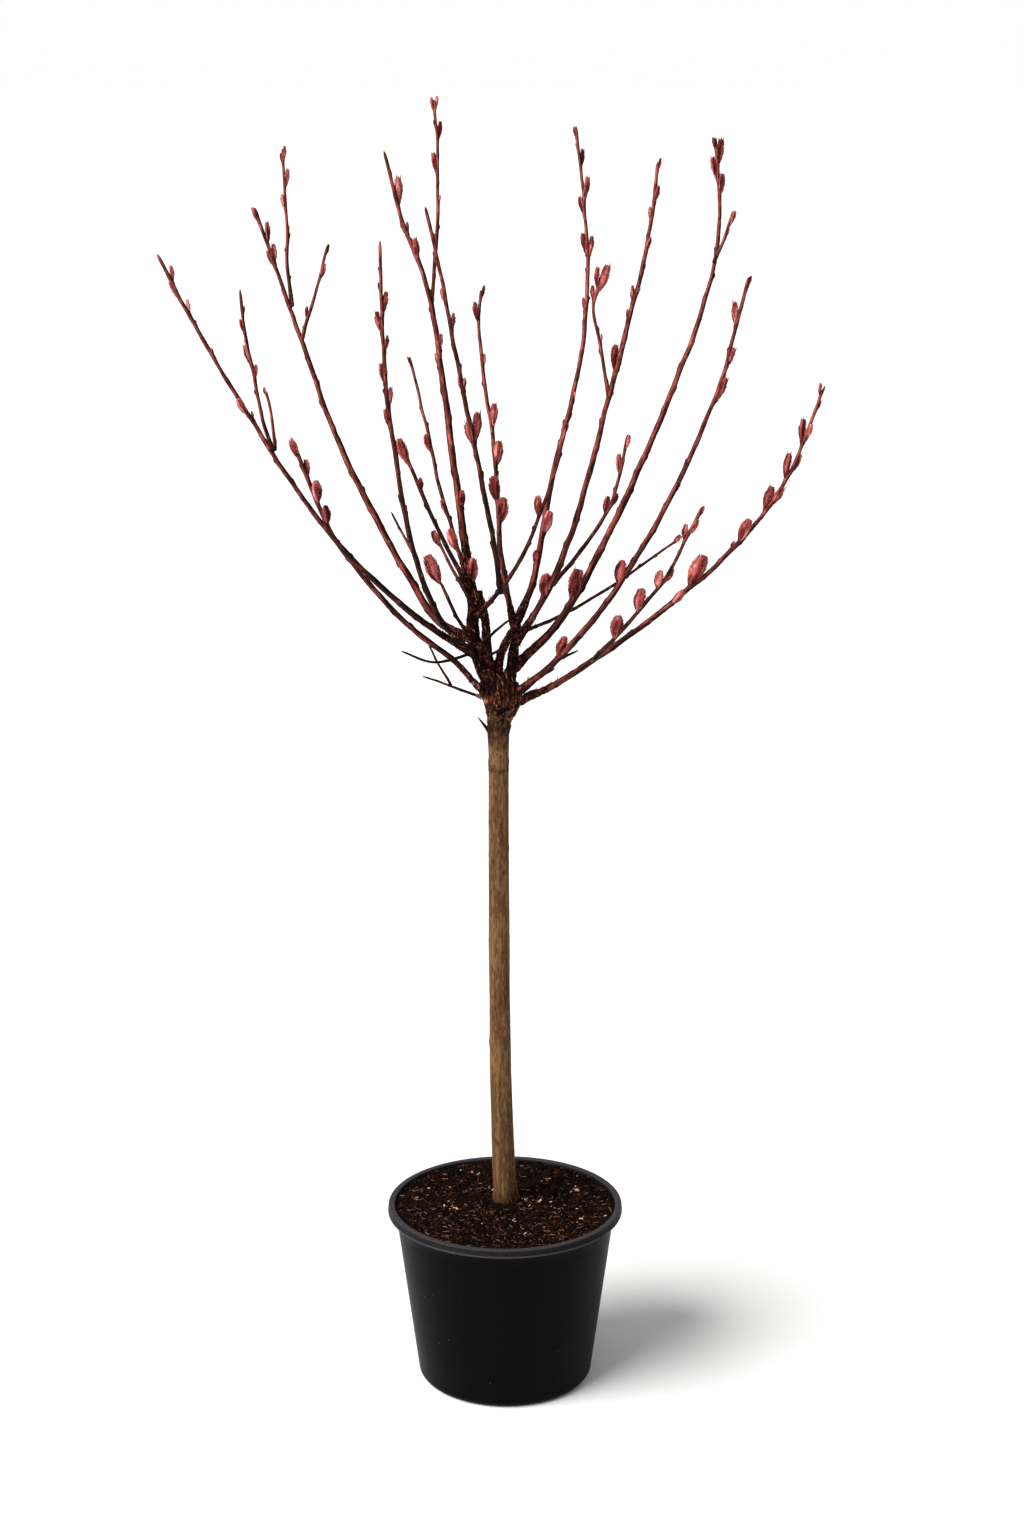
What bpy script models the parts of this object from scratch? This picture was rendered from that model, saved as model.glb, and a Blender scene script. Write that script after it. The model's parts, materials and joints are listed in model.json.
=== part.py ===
"""A potted pussy willow grown as a small standard: a black nursery pot full of compost, one bare stem,
and a crown of long bare shoots that carry pink catkins. Metres, +Z up. The origin is the centre of the
pot's flat underside, and the plant's front is towards -Y."""

import math
import random
from collections import namedtuple

import bmesh
import bpy
from mathutils import Matrix, Vector

MM = 0.001
CLEAR = 0.0003
WELD = 1e-6
SEED = 7

# Nursery pot: a thin tapering wall under a wide flat lip
POT_HEIGHT = 0.203
LIP_RADIUS = 0.130
LIP_DEPTH = 0.009
LIP_EDGE = 0.002
LIP_BORE = 0.1225
FOOT_RADIUS = 0.0957
WALL_SLOPE = 0.132
WALL = 0.0025
FLOOR = 0.003
FOOT_EDGE = 0.010
POT_STEPS = 40

# Compost: filled to just under the lip, a little higher round the stem
COMPOST_RIM = 0.2003
COMPOST_CROWN = 0.2022
COMPOST_RINGS = 4

# Stem of the standard, from its flat cut on the compost up to the head
TRUNK_DEPTH = 8 * MM
TRUNK = (
    # height, sideways place and diameter, mm
    (202.5, 0.5, 29.0),
    (208.5, 0.3, 26.6),
    (222, -0.6, 25.6),
    (270, -2.4, 25.0),
    (350, -4.8, 23.6),
    (460, -6.0, 22.6),
    (560, -6.4, 22.2),
    (650, -6.6, 21.8),
    (715, -6.6, 21.6),
    (737, -6.8, 23.2),
    (752, -5.2, 27.4),
    (763, -4.0, 32.6),
    (773, -2.8, 40.0),
    (782, -2.4, 41.0),
    (791, -5.0, 33.0),
    (799, -8.5, 24.0),
)
TRUNK_SIDES = 12

# The place that the front elevation is seen from: a shoot keeps its outline from there at any depth
EYE = Vector((0.008, -2.73, 1.41))
STEM_STEP = 3 * MM
RING_SPACING = 32 * MM
RING_NEAREST = 6 * MM
LEAD_IN = 1.0 * MM
STUB_MARGIN = 1.2 * MM
SWAY = 0.3 * MM
DEPTH_SWAY = 0.9 * MM
SWAY_WAVE = 85 * MM

# Catkins
SLIM_LENGTH = 14 * MM
SLIM_WIDTH = 0.30
PLUMP_LENGTH = 35 * MM
PLUMP_WIDTH = 0.50
CATKIN_FOOT = 0.12
COARSE_LENGTH = 17.5 * MM
CATKIN_LEAN = 9
CATKIN_UPRIGHT = 0.36
CATKIN_TURN = 50
CATKIN_OFFSET = 1.3 * MM

Shoot = namedtuple("Shoot", "parent path depth girth bough catkins", defaults=(None, ()))
# path: the few places that the shoot's smooth curve passes in front elevation, from where it leaves its
# parent to its tip, as (sideways, height), mm. depth: how far its tip stands behind the pot's axis, mm.
# girth: diameter at foot and tip, mm. bough: share of the shoot that is bare limb before its twigs
# begin, 0 where it has none, None where the whole shoot is fused to its parent. catkins: height of each
# root and its length, mm, with a minus sign on the left side.
SHOOTS = {
    # The two short arms that the head forks into, one solid with the trunk
    "limb_left": Shoot(
        "trunk", ((-8, 776), (-24, 812), (-33, 846), (-33, 880), (-37, 906)),
        4, (18, 11), None, ((900, 26),),
    ),
    "limb_right": Shoot("trunk", ((1, 776), (8, 815), (14, 866)), 14, (15, 8)),
    # An old strand of wood beside each arm, which leaves the head and joins the arm again
    "strand_left": Shoot("trunk", ((-11, 792), (-18, 828), (-20, 858), (-28, 892)), -2, (11, 8)),
    "strand_right": Shoot("trunk", ((-9, 790), (-5, 820), (3, 840), (12, 856)), 4, (10, 8)),
    # Left half of the crown, from the outside in
    "left_arc": Shoot(
        "trunk",
        ((-20, 780), (-53, 817), (-110, 864), (-212, 994), (-236, 1031), (-311, 1158), (-352, 1239)),
        -40, (6.5, 3.6), 0.55, ((1070, 8), (1075, -20), (1135, 8), (1179, 14), (1195, -19), (1210, 16)),
    ),
    "left_arc_fork": Shoot(
        "left_arc", ((-240, 1042), (-249, 1071), (-255, 1108), (-265, 1160), (-269, 1204)),
        -75, (4.2, 3.0), None, ((1114, 14), (1129, -19), (1160, -13), (1178, 8)),
    ),
    "left_arc_spur": Shoot(
        "left_arc", ((-237, 1041), (-239, 1068), (-244, 1100)), 0, (3.6, 2.8), None, ((1094, -10),)
    ),
    "left_low": Shoot(
        "limb_left", ((-32, 825), (-80, 855), (-126, 894), (-176, 947), (-220, 1053)),
        -120, (7.5, 3.8), 0.66, ((963, 18), (987, 22), (1013, 16), (1033, -19)),
    ),
    "left_high": Shoot(
        "limb_left",
        ((-29, 838), (-69, 860), (-99, 905), (-132, 966), (-172, 1050), (-207, 1151), (-252, 1285)),
        110, (8.5, 3.6), 0.58, ((1228, -17), (1230, 19), (1251, 20), (1271, -16)),
    ),
    "left_high_top": Shoot(
        "left_high", ((-216, 1188), (-220, 1225), (-220, 1274), (-222, 1322), (-223, 1343)),
        160, (4.2, 3.0), None, ((1251, 8), (1283, -15), (1304, 18), (1330, -10), (1333, 14)),
    ),
    "left_high_fork": Shoot(
        "left_high", ((-206, 1155), (-192, 1202), (-179, 1248)),
        60, (4.0, 2.8), None, ((1173, -13), (1214, 18), (1237, 12)),
    ),
    "left_inner": Shoot(
        "limb_left",
        (
            (-29, 823), (-45, 836), (-71, 868), (-99, 951), (-111, 1023), (-122, 1108), (-125, 1191),
            (-126, 1252),
        ),
        -205, (6.5, 3.4), 0.43,
        (
            (974, 7), (1063, -18), (1083, 18), (1107, -19), (1142, 15), (1159, -20), (1179, 19),
            (1202, -8),
        ),
    ),
    "left_inner_twig": Shoot(
        "left_inner", ((-90, 922), (-107, 955), (-118, 976)), -60, (3.2, 2.4)
    ),
    "left_back": Shoot(
        "limb_left", ((-38, 900), (-69, 1009), (-76, 1044), (-83, 1076), (-97, 1136)),
        195, (5.0, 3.2), 0.1, ((937, -23), (977, -13), (1038, -21), (1127, -9)),
    ),
    "left_front": Shoot(
        "limb_left", ((-37, 892), (-81, 983), (-107, 1050)),
        -90, (5.2, 3.6), 0.1, ((998, 12), (1026, -27)),
    ),
    "left_short": Shoot(
        "limb_left", ((-34, 878), (-56, 919), (-74, 956)), 70, (4.2, 3.2), 0, ((940, -17),)
    ),
    "left_spur": Shoot(
        "limb_left", ((-31, 834), (-49, 863), (-67, 902)), -50, (4.2, 3.4), 0, ((902, -30),)
    ),
    # Middle of the crown
    "middle_left": Shoot(
        "limb_left", ((-37, 906), (-53, 1030), (-71, 1167), (-81, 1214), (-101, 1265), (-121, 1341)),
        40, (9.0, 3.4), 0.62,
        ((979, 18), (1124, -15), (1142, 16), (1232, 21), (1260, -14), (1260, 11), (1286, 28)),
    ),
    "middle_left_top": Shoot(
        "middle_left", ((-75, 1182), (-69, 1250), (-67, 1333), (-70, 1391)),
        105, (4.6, 3.0), None, ((1289, 8), (1319, -21), (1352, 18), (1379, -14), (1382, 12)),
    ),
    "middle_cross": Shoot(
        "limb_left", ((-28, 866), (-5, 893), (12, 917), (26, 946), (48, 1004), (63, 1063)),
        -175, (5.2, 3.0), 0.4, ((973, -21), (1057, 9)),
    ),
    "middle_front": Shoot(
        "middle_cross", ((-4, 892), (-11, 940), (-30, 1040), (-49, 1133), (-64, 1216), (-80, 1286)),
        -235, (6.0, 3.2), 0.33,
        ((1046, -25), (1049, 30), (1099, -14), (1102, 12), (1163, 15), (1190, -13)),
    ),
    "middle_back": Shoot(
        "limb_right", ((9, 857), (-3, 926), (-11, 1045), (-18, 1092), (-26, 1167), (-24, 1203)),
        235, (6.5, 3.4), 0.25,
        ((964, 28), (986, -27), (1023, 28), (1064, 25), (1126, 14), (1171, -22), (1194, 14)),
    ),
    # Right half of the crown, from the inside out
    "right_tall": Shoot(
        "limb_right", ((14, 862), (29, 900), (48, 1004), (73, 1109), (82, 1165), (84, 1242), (72, 1365)),
        185, (7.5, 3.2), 0.15,
        (
            (920, -14), (953, 24), (1061, -9), (1091, 9), (1182, -14), (1236, 22), (1239, -22),
            (1278, -18), (1293, 22), (1326, 18), (1353, -12),
        ),
    ),
    "right_inner": Shoot(
        "limb_right", ((12, 838), (36, 876), (54, 912), (74, 967), (108, 1097), (147, 1262), (154, 1330)),
        -165, (7.5, 3.4), 0.5,
        (
            (886, -26), (1121, -26), (1124, 10), (1171, -10), (1189, -15), (1221, 8), (1243, 13),
            (1272, -12), (1291, 15), (1321, 11),
        ),
    ),
    "right_inner_fork": Shoot(
        "right_inner", ((107, 1095), (98, 1146), (91, 1185), (102, 1228)),
        -120, (4.0, 2.8), None, ((1149, 8), (1191, -15), (1199, 29), (1205, -19)),
    ),
    "right_mid": Shoot(
        "right_inner", ((51, 899), (86, 944), (111, 985), (127, 1056)),
        60, (4.8, 3.2), 0.3, ((974, -18), (982, 14), (1016, -19), (1041, 15)),
    ),
    "right_high": Shoot(
        "limb_right", ((6, 806), (58, 861), (101, 938), (154, 1056), (204, 1192), (217, 1265), (212, 1354)),
        130, (9.0, 3.4), 0.62,
        ((883, -32), (1034, 13), (1297, 22), (1312, -24), (1327, 26), (1342, -12)),
    ),
    "right_high_fork": Shoot(
        "right_high", ((213, 1232), (222, 1253), (231, 1282)),
        95, (3.8, 3.0), None, ((1256, 9), (1267, 16)),
    ),
    "right_outer": Shoot(
        "trunk", ((6, 780), (42, 806), (101, 872), (151, 951), (187, 1022), (224, 1118), (248, 1216)),
        -150, (7.5, 3.4), 0.6,
        ((821, -23), (900, -25), (1089, 27), (1126, 18), (1168, -22), (1168, -8), (1205, 12)),
    ),
    "right_thin": Shoot(
        "limb_right", ((12, 846), (50, 862), (96, 887), (185, 950)), 215, (4.2, 2.8), 0.3, ((943, 12),)
    ),
    "right_arc": Shoot(
        "trunk", ((8, 770), (58, 795), (160, 867), (190, 893), (224, 922), (286, 999), (329, 1106)),
        30, (7.5, 3.2), 0.42,
        (
            (880, 18), (896, -35), (936, -9), (944, -26), (944, 9), (976, -27), (984, 23),
            (1009, -27), (1017, 21), (1044, -26), (1047, 20), (1081, 12), (1095, -13),
        ),
    ),
    "right_arc_fork": Shoot(
        "right_arc", ((96, 821), (135, 864), (168, 906), (205, 981)),
        -140, (4.8, 3.2), 0.12,
        ((844, -29), (871, -26), (896, -20), (903, 16), (945, -16), (953, 17), (970, 12)),
    ),
    # Dead twigs round the head
    "dead_left": Shoot("limb_left", ((-28, 828), (-74, 816), (-109, 828)), -30, (3.6, 2.2)),
    "dead_snag": Shoot("trunk", ((-15, 738), (-22, 748), (-29, 757)), 4, (5.5, 1.4)),
    "dead_low": Shoot("trunk", ((-18, 776), (-48, 787), (-87, 801)), 25, (3.8, 2.2)),
    "dead_low_fork": Shoot("dead_low", ((-57, 792), (-72, 818), (-81, 837)), 60, (2.8, 2.0)),
    "dead_right": Shoot("trunk", ((14, 779), (38, 800), (53, 809)), 34, (3.8, 2.4)),
    "dead_right_low": Shoot("trunk", ((12, 773), (25, 783), (36, 787)), 30, (3.8, 2.6)),
    "dead_outer": Shoot("right_outer", ((54, 817), (65, 823), (78, 829)), -10, (3.4, 2.0)),
    "dead_inner": Shoot("limb_left", ((-24, 836), (-4, 854), (6, 862)), -30, (3.4, 2.6)),
    "dead_inner_low": Shoot("limb_left", ((-22, 820), (-6, 829), (1, 832)), -26, (3.4, 2.6)),
}

# Material colours, linear
COLOURS = {
    "pot": ((0.010, 0.010, 0.011), 0.48),
    "compost": ((0.030, 0.013, 0.008), 0.95),
    "bark": ((0.165, 0.090, 0.040), 0.80),
    "shoot_bark": ((0.085, 0.028, 0.018), 0.60),
    "catkin": ((0.400, 0.110, 0.110), 0.90),
}

Stem = namedtuple("Stem", "points seen radii lengths")


def clear_scene():
    for item in list(bpy.data.objects):
        bpy.data.objects.remove(item)


def new_collection(name):
    collection = bpy.data.collections.new(name)
    bpy.context.scene.collection.children.link(collection)
    return collection


def new_material(name):
    colour, roughness = COLOURS[name]
    material = bpy.data.materials.new(name)
    material.use_nodes = True
    shader = material.node_tree.nodes["Principled BSDF"]
    shader.inputs["Base Color"].default_value = (*colour, 1.0)
    shader.inputs["Roughness"].default_value = roughness
    return material


# Turned shapes


def turned(name, profile, collection, steps=POT_STEPS):
    """A profile of (radius, height) points turned about the Z axis."""
    mesh = bpy.data.meshes.new(name)
    item = bpy.data.objects.new(name, mesh)
    collection.objects.link(item)
    shape = bmesh.new()
    corners = {point: shape.verts.new((point[0], 0.0, point[1])) for point in profile}
    for first, second in zip(profile, profile[1:]):
        shape.edges.new((corners[first], corners[second]))
    shape.to_mesh(mesh)
    shape.free()
    screw = item.modifiers.new("turn", "SCREW")
    screw.steps = steps
    screw.render_steps = steps
    screw.use_merge_vertices = True
    screw.merge_threshold = 1e-5
    return item


def arc(centre, radius, start, end, steps):
    """Points of a round edge in a profile, from start to end degrees."""
    points = []
    for step in range(steps + 1):
        angle = math.radians(start + (end - start) * step / steps)
        points.append((centre[0] + radius * math.cos(angle), centre[1] + radius * math.sin(angle)))
    return points


def wall_radius(height):
    """Outer radius of the pot's wall."""
    return FOOT_RADIUS + WALL_SLOPE * height


def bore_radius(height):
    """Inner radius of the pot where its wall opens into the lip."""
    low = POT_HEIGHT - LIP_DEPTH
    share = (height - low) / LIP_DEPTH
    return (wall_radius(low) - WALL) * (1 - share) + LIP_BORE * share


def build_pot(collection):
    lip_low = POT_HEIGHT - LIP_DEPTH
    foot = (wall_radius(FOOT_EDGE) - FOOT_EDGE, FOOT_EDGE)
    profile = [(LIP_BORE, POT_HEIGHT)]
    profile += arc((LIP_RADIUS - LIP_EDGE, POT_HEIGHT - LIP_EDGE), LIP_EDGE, 90, 0, 3)
    profile += arc((LIP_RADIUS - LIP_EDGE, lip_low + LIP_EDGE), LIP_EDGE, 0, -90, 3)
    profile.append((wall_radius(lip_low), lip_low))
    profile += arc(foot, FOOT_EDGE, 0, -90, 5)
    profile.append((0.0, 0.0))
    profile.append((0.0, FLOOR))
    profile.append((wall_radius(FLOOR + FOOT_EDGE) - WALL - FOOT_EDGE, FLOOR))
    profile.append((wall_radius(FLOOR + FOOT_EDGE) - WALL, FLOOR + FOOT_EDGE))
    profile.append((wall_radius(lip_low) - WALL, lip_low))
    profile.append(profile[0])
    return turned("pot", profile, collection)


def build_compost(collection):
    base = FLOOR + CLEAR
    shoulder = FLOOR + FOOT_EDGE
    inset = WALL + CLEAR
    profile = []
    for ring in range(COMPOST_RINGS + 1):
        share = ring / COMPOST_RINGS
        height = COMPOST_CROWN + (COMPOST_RIM - COMPOST_CROWN) * share**2
        profile.append((share * (bore_radius(COMPOST_RIM) - 2 * CLEAR), height))
    profile.append((wall_radius(POT_HEIGHT - LIP_DEPTH) - inset - CLEAR, POT_HEIGHT - LIP_DEPTH))
    profile.append((wall_radius(shoulder) - inset - CLEAR, shoulder + 2 * CLEAR))
    profile.append((wall_radius(shoulder) - inset - FOOT_EDGE, base))
    profile.append((0.0, base))
    return turned("compost", profile, collection)


# Stems: the axis of the trunk or of a shoot as closely spaced points, with what is seen of it in front


def slid(sideways, height, depth):
    """The point seen at this place on the plane through the pot's axis, moved to this depth."""
    seen = Vector((sideways, 0.0, height))
    return EYE + (seen - EYE) * (1 - depth / EYE.y)


def stem_of(points, seen, radii):
    lengths = [0.0]
    for first, second in zip(points, points[1:]):
        lengths.append(lengths[-1] + (second - first).length)
    return Stem(points, seen, radii, lengths)


def trunk_stem():
    points = []
    seen = []
    radii = []
    for height, sideways, diameter in TRUNK:
        seen.append((sideways * MM, height * MM))
        points.append(Vector((sideways * MM, TRUNK_DEPTH, height * MM)))
        radii.append(diameter * MM / 2)
    return stem_of(points, seen, radii)


def blend(low, high, first, second, value):
    """The point between two points whose own places are low and high, at this value."""
    return (first * (high - value) + second * (value - low)) / (high - low)


def smooth_curve(places, spacing):
    """Evenly dense points of a centripetal Catmull-Rom curve through the places."""
    ends = [places[0] * 2 - places[1]] + places + [places[-1] * 2 - places[-2]]
    points = []
    for index in range(1, len(ends) - 2):
        a, b, c, d = ends[index - 1 : index + 3]
        ta = 0.0
        tb = ta + math.sqrt((b - a).length)
        tc = tb + math.sqrt((c - b).length)
        td = tc + math.sqrt((d - c).length)
        steps = max(2, round((c - b).length / spacing))
        for step in range(steps):
            t = tb + (tc - tb) * step / steps
            ab = blend(ta, tb, a, b, t)
            bc = blend(tb, tc, b, c, t)
            cd = blend(tc, td, c, d, t)
            points.append(blend(tb, tc, blend(ta, tc, ab, bc, t), blend(tb, td, bc, cd, t), t))
    points.append(places[-1])
    return points


def nearest(stem, place):
    """Index of the stem's point that is seen nearest to this place."""
    return min(
        range(len(stem.seen)),
        key=lambda i: (stem.seen[i][0] - place[0]) ** 2 + (stem.seen[i][1] - place[1]) ** 2,
    )


def shoot_stem(name, parent):
    """The axis of a shoot: it starts on its parent's axis, follows its path and drifts to its depth."""
    shoot = SHOOTS[name]
    draw = random.Random(f"{SEED} {name}")
    phases = [draw.uniform(0, 2 * math.pi) for _ in range(4)]
    places = [Vector(place) * MM for place in shoot.path]
    root = nearest(parent, places[0])
    inside = Vector(parent.seen[root])
    lead = max(1, round((places[0] - inside).length / STEM_STEP))
    curve = [inside.lerp(places[0], step / lead) for step in range(lead)]
    curve += smooth_curve(places, STEM_STEP)
    foot_depth = parent.points[root].y
    points = []
    seen = []
    radii = []
    for index, place in enumerate(curve):
        t = index / (len(curve) - 1)
        depth = foot_depth + (shoot.depth * MM - foot_depth) * math.sin(t * math.pi / 2)
        turns = index * STEM_STEP / SWAY_WAVE * 2 * math.pi
        ease = min(1.0, 4 * t) * min(1.0, 6 * (1 - t))
        waves = [math.sin(turns * pitch + phase) for pitch, phase in zip((1, 2.3, 1, 2.1), phases)]
        side = place.x + SWAY * ease * (waves[0] + waves[1] / 2)
        depth += DEPTH_SWAY * ease * (waves[2] + waves[3] / 2)
        seen.append((side, place.y))
        points.append(slid(side, place.y, depth))
        girth = shoot.girth[0] + (shoot.girth[1] - shoot.girth[0]) * t
        radii.append(girth * MM / 2)
    return stem_of(points, seen, radii)


def along(stem, length):
    """(point, tangent, radius) at this distance along the stem."""
    length = min(max(length, 0.0), stem.lengths[-1])
    index = 1
    while stem.lengths[index] < length and index < len(stem.lengths) - 1:
        index += 1
    start, end = stem.lengths[index - 1], stem.lengths[index]
    share = (length - start) / (end - start)
    point = stem.points[index - 1].lerp(stem.points[index], share)
    tangent = (stem.points[index] - stem.points[index - 1]).normalized()
    radius = stem.radii[index - 1] * (1 - share) + stem.radii[index] * share
    return point, tangent, radius


def length_at_height(stem, height):
    """Distance along the stem to where it is seen at this height."""
    index = min(range(len(stem.seen)), key=lambda i: abs(stem.seen[i][1] - height))
    return stem.lengths[index]


def all_stems():
    stems = {"trunk": trunk_stem()}
    for name, shoot in SHOOTS.items():
        stems[name] = shoot_stem(name, stems[shoot.parent])
    return stems


def children(name):
    return [child for child, shoot in SHOOTS.items() if shoot.parent == name]


def stub_length(name, stems):
    """How far a shoot is fused to its parent: to where it is clear of it and of every shoot beside it."""
    parent = SHOOTS[name].parent
    stem = stems[name]
    beside = [stems[parent]] + [stems[other] for other in children(parent) if other != name]
    last = 0.0
    half = stem.lengths[-1] * 0.45
    for point, radius, length in zip(stem.points, stem.radii, stem.lengths):
        if length > half:
            break
        for other in beside:
            for place, girth in zip(other.points, other.radii):
                if (point - place).length < radius + girth + STUB_MARGIN:
                    last = length
                    break
    return last + 3 * STEM_STEP


# Solids


def ring_guide(sides, guides):
    """A flat ring of unit radius, which a tube takes its section from."""
    curve = bpy.data.curves.new(f"section_{sides}", "CURVE")
    spline = curve.splines.new("POLY")
    spline.points.add(sides - 1)
    spline.use_cyclic_u = True
    for index, point in enumerate(spline.points):
        angle = 2 * math.pi * index / sides
        point.co = (math.cos(angle), math.sin(angle), 0.0, 1.0)
    guide = bpy.data.objects.new(curve.name, curve)
    guide.hide_render = True
    guide.display_type = "WIRE"
    guides.objects.link(guide)
    return guide


def mesh_of_curve(item, collection):
    """The curve as a closed mesh object, and the curve gone."""
    graph = bpy.context.evaluated_depsgraph_get()
    mesh = bpy.data.meshes.new_from_object(item.evaluated_get(graph))
    shape = bmesh.new()
    shape.from_mesh(mesh)
    bmesh.ops.remove_doubles(shape, verts=shape.verts, dist=WELD)
    bmesh.ops.recalc_face_normals(shape, faces=shape.faces)
    shape.to_mesh(mesh)
    shape.free()
    made = bpy.data.objects.new(item.name, mesh)
    made.matrix_world = item.matrix_world
    collection.objects.link(made)
    bpy.data.objects.remove(item)
    return made


def sides_for(radius):
    """Sides of a tube that suit its thickness."""
    if radius > 5 * MM:
        return 8
    if radius > 3.0 * MM:
        return 6
    if radius > 1.9 * MM:
        return 4
    return 3


def root_lengths(name, stems):
    """Distances along a shoot to where other shoots leave it."""
    stem = stems[name]
    return [stem.lengths[nearest(stem, Vector(SHOOTS[child].path[0]) * MM)] for child in children(name)]


def ring_lengths(name, stems, start, end):
    """Where a tube from start to end has its rings: at each root on it, and evenly between them."""
    stem = stems[name]
    lead = min(LEAD_IN, (end - start) / 4)
    roots = root_lengths(name, stems)
    roots += [length_at_height(stem, height * MM) for height, _ in SHOOTS[name].catkins]
    kept = [start + lead]
    for root in sorted(roots):
        if kept[-1] + RING_NEAREST < root < end - lead - RING_NEAREST:
            kept.append(root)
    kept.append(end - lead)
    lengths = [start, kept[0]]
    for first, second in zip(kept, kept[1:]):
        count = max(1, round((second - first) / RING_SPACING))
        lengths += [first + (second - first) * (step + 1) / count for step in range(count)]
    lengths.append(end)
    return lengths


def tube(name, stems, start, end, collection, guides):
    """The shoot's stretch from start to end as a tapering tube with flat ends square to it."""
    rings = [along(stems[name], length) for length in ring_lengths(name, stems, start, end)]
    curve = bpy.data.curves.new(name, "CURVE")
    curve.dimensions = "3D"
    curve.twist_mode = "MINIMUM"
    curve.bevel_mode = "OBJECT"
    curve.bevel_object = guides[sides_for(rings[0][2])]
    curve.use_fill_caps = True
    spline = curve.splines.new("POLY")
    spline.points.add(len(rings) - 1)
    for point, (place, _, radius) in zip(spline.points, rings):
        point.co = (*place, 1.0)
        point.radius = radius
    item = bpy.data.objects.new(name, curve)
    collection.objects.link(item)
    bpy.context.view_layer.update()
    return mesh_of_curve(item, collection)


def catkin_width(length):
    """Width of a catkin: the longer ones are rounder for their length."""
    share = (length - SLIM_LENGTH) / (PLUMP_LENGTH - SLIM_LENGTH)
    share = min(1.0, max(0.0, share))
    return length * (SLIM_WIDTH + (PLUMP_WIDTH - SLIM_WIDTH) * share)


def catkin_axis(stem, height, size, draw):
    """(foot, direction, length, width) of a catkin: more upright than its stem, and leaning outwards."""
    side = math.copysign(1.0, size)
    length = abs(size) * MM
    root, tangent, _ = along(stem, length_at_height(stem, height * MM))
    turn = math.radians(draw.uniform(-CATKIN_TURN, CATKIN_TURN))
    out = Vector((side * math.cos(turn), math.sin(turn), 0.0))
    out = (out - tangent * out.dot(tangent)).normalized()
    risen = tangent.lerp(Vector((0.0, 0.0, 1.0)), CATKIN_UPRIGHT).normalized()
    lean = math.radians(CATKIN_LEAN)
    direction = (risen * math.cos(lean) + out * math.sin(lean)).normalized()
    return root + out * CATKIN_OFFSET, direction, length, catkin_width(length)


def add_catkin(axis, collection):
    """An egg-shaped catkin on its axis, fuller towards its tip, with its foot sunk into the stem."""
    foot, direction, length, width = axis
    small = length <= COARSE_LENGTH
    shape = bmesh.new()
    bmesh.ops.create_uvsphere(
        shape, u_segments=5 if small else 6, v_segments=4 if small else 5, radius=0.5
    )
    for vertex in shape.verts:
        belly = 0.98 + 0.24 * vertex.co.z
        vertex.co.x *= width * belly
        vertex.co.y *= width * belly
        vertex.co.z *= length * (1 + CATKIN_FOOT)
    turned_up = Vector((0.0, 0.0, 1.0)).rotation_difference(direction).to_matrix().to_4x4()
    middle = foot + direction * length * (1 - CATKIN_FOOT) / 2
    shape.transform(Matrix.Translation(middle) @ turned_up)
    mesh = bpy.data.meshes.new("catkin")
    shape.to_mesh(mesh)
    shape.free()
    collection.objects.link(bpy.data.objects.new("catkin", mesh))


def fused(name, body, extras):
    """One solid of the body and everything in the collection, which is emptied."""
    if extras.objects:
        join = body.modifiers.new("join", "BOOLEAN")
        join.operation = "UNION"
        join.operand_type = "COLLECTION"
        join.collection = extras
        join.solver = "MANIFOLD"
        bpy.context.view_layer.update()
        graph = bpy.context.evaluated_depsgraph_get()
        joined = bpy.data.meshes.new_from_object(body.evaluated_get(graph))
        body.modifiers.clear()
        body.data = joined
        for item in list(extras.objects):
            bpy.data.objects.remove(item)
    body.name = name
    body.data.name = name
    return body


def add_fused(name, stems, extras, guides):
    """Adds a shoot that is fused whole to its parent, with its catkins and what leaves it."""
    end = stems[name].lengths[-1]
    tube(name, stems, 0.0, end, extras, guides)
    add_catkins(name, stems, 0.0, end + MM, extras)
    add_side_shoots(name, stems, 0.0, end + MM, extras, guides)


def add_catkins(name, stems, start, end, extras):
    """Adds the catkins that are rooted on this stretch of a shoot."""
    draw = random.Random(f"{SEED} catkins {name}")
    stem = stems[name]
    for height, size in SHOOTS[name].catkins:
        axis = catkin_axis(stem, height, size, draw)
        if start <= length_at_height(stem, height * MM) < end:
            add_catkin(axis, extras)


def add_side_shoots(name, stems, start, end, extras, guides):
    """Adds the stub of each shoot that leaves this stretch, or all of it where it is fused whole."""
    for child, root in zip(children(name), root_lengths(name, stems)):
        if not start <= root < end:
            continue
        if SHOOTS[child].bough is None:
            add_fused(child, stems, extras, guides)
        else:
            stub = stub_length(child, stems)
            tube(child, stems, 0.0, stub, extras, guides)
            add_catkins(child, stems, 0.0, stub, extras)
            add_side_shoots(child, stems, 0.0, stub, extras, guides)


def build_trunk(stems, parts, extras, guides):
    stem = stems["trunk"]
    curve = bpy.data.curves.new("trunk", "CURVE")
    curve.dimensions = "3D"
    curve.bevel_mode = "OBJECT"
    curve.bevel_object = guides[TRUNK_SIDES]
    curve.use_fill_caps = True
    spline = curve.splines.new("POLY")
    spline.points.add(len(stem.points) - 1)
    for point, place, radius in zip(spline.points, stem.points, stem.radii):
        point.co = (*place, 1.0)
        point.radius = radius
    item = bpy.data.objects.new("trunk", curve)
    parts.objects.link(item)
    bpy.context.view_layer.update()
    body = mesh_of_curve(item, parts)
    foot = min(vertex.co.z for vertex in body.data.vertices)
    for vertex in body.data.vertices:
        if vertex.co.z < foot + 1.5 * MM:
            vertex.co.z = TRUNK[0][0] * MM
    add_side_shoots("trunk", stems, 0.0, stem.lengths[-1] + MM, extras, guides)
    return fused("trunk", body, extras)


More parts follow.
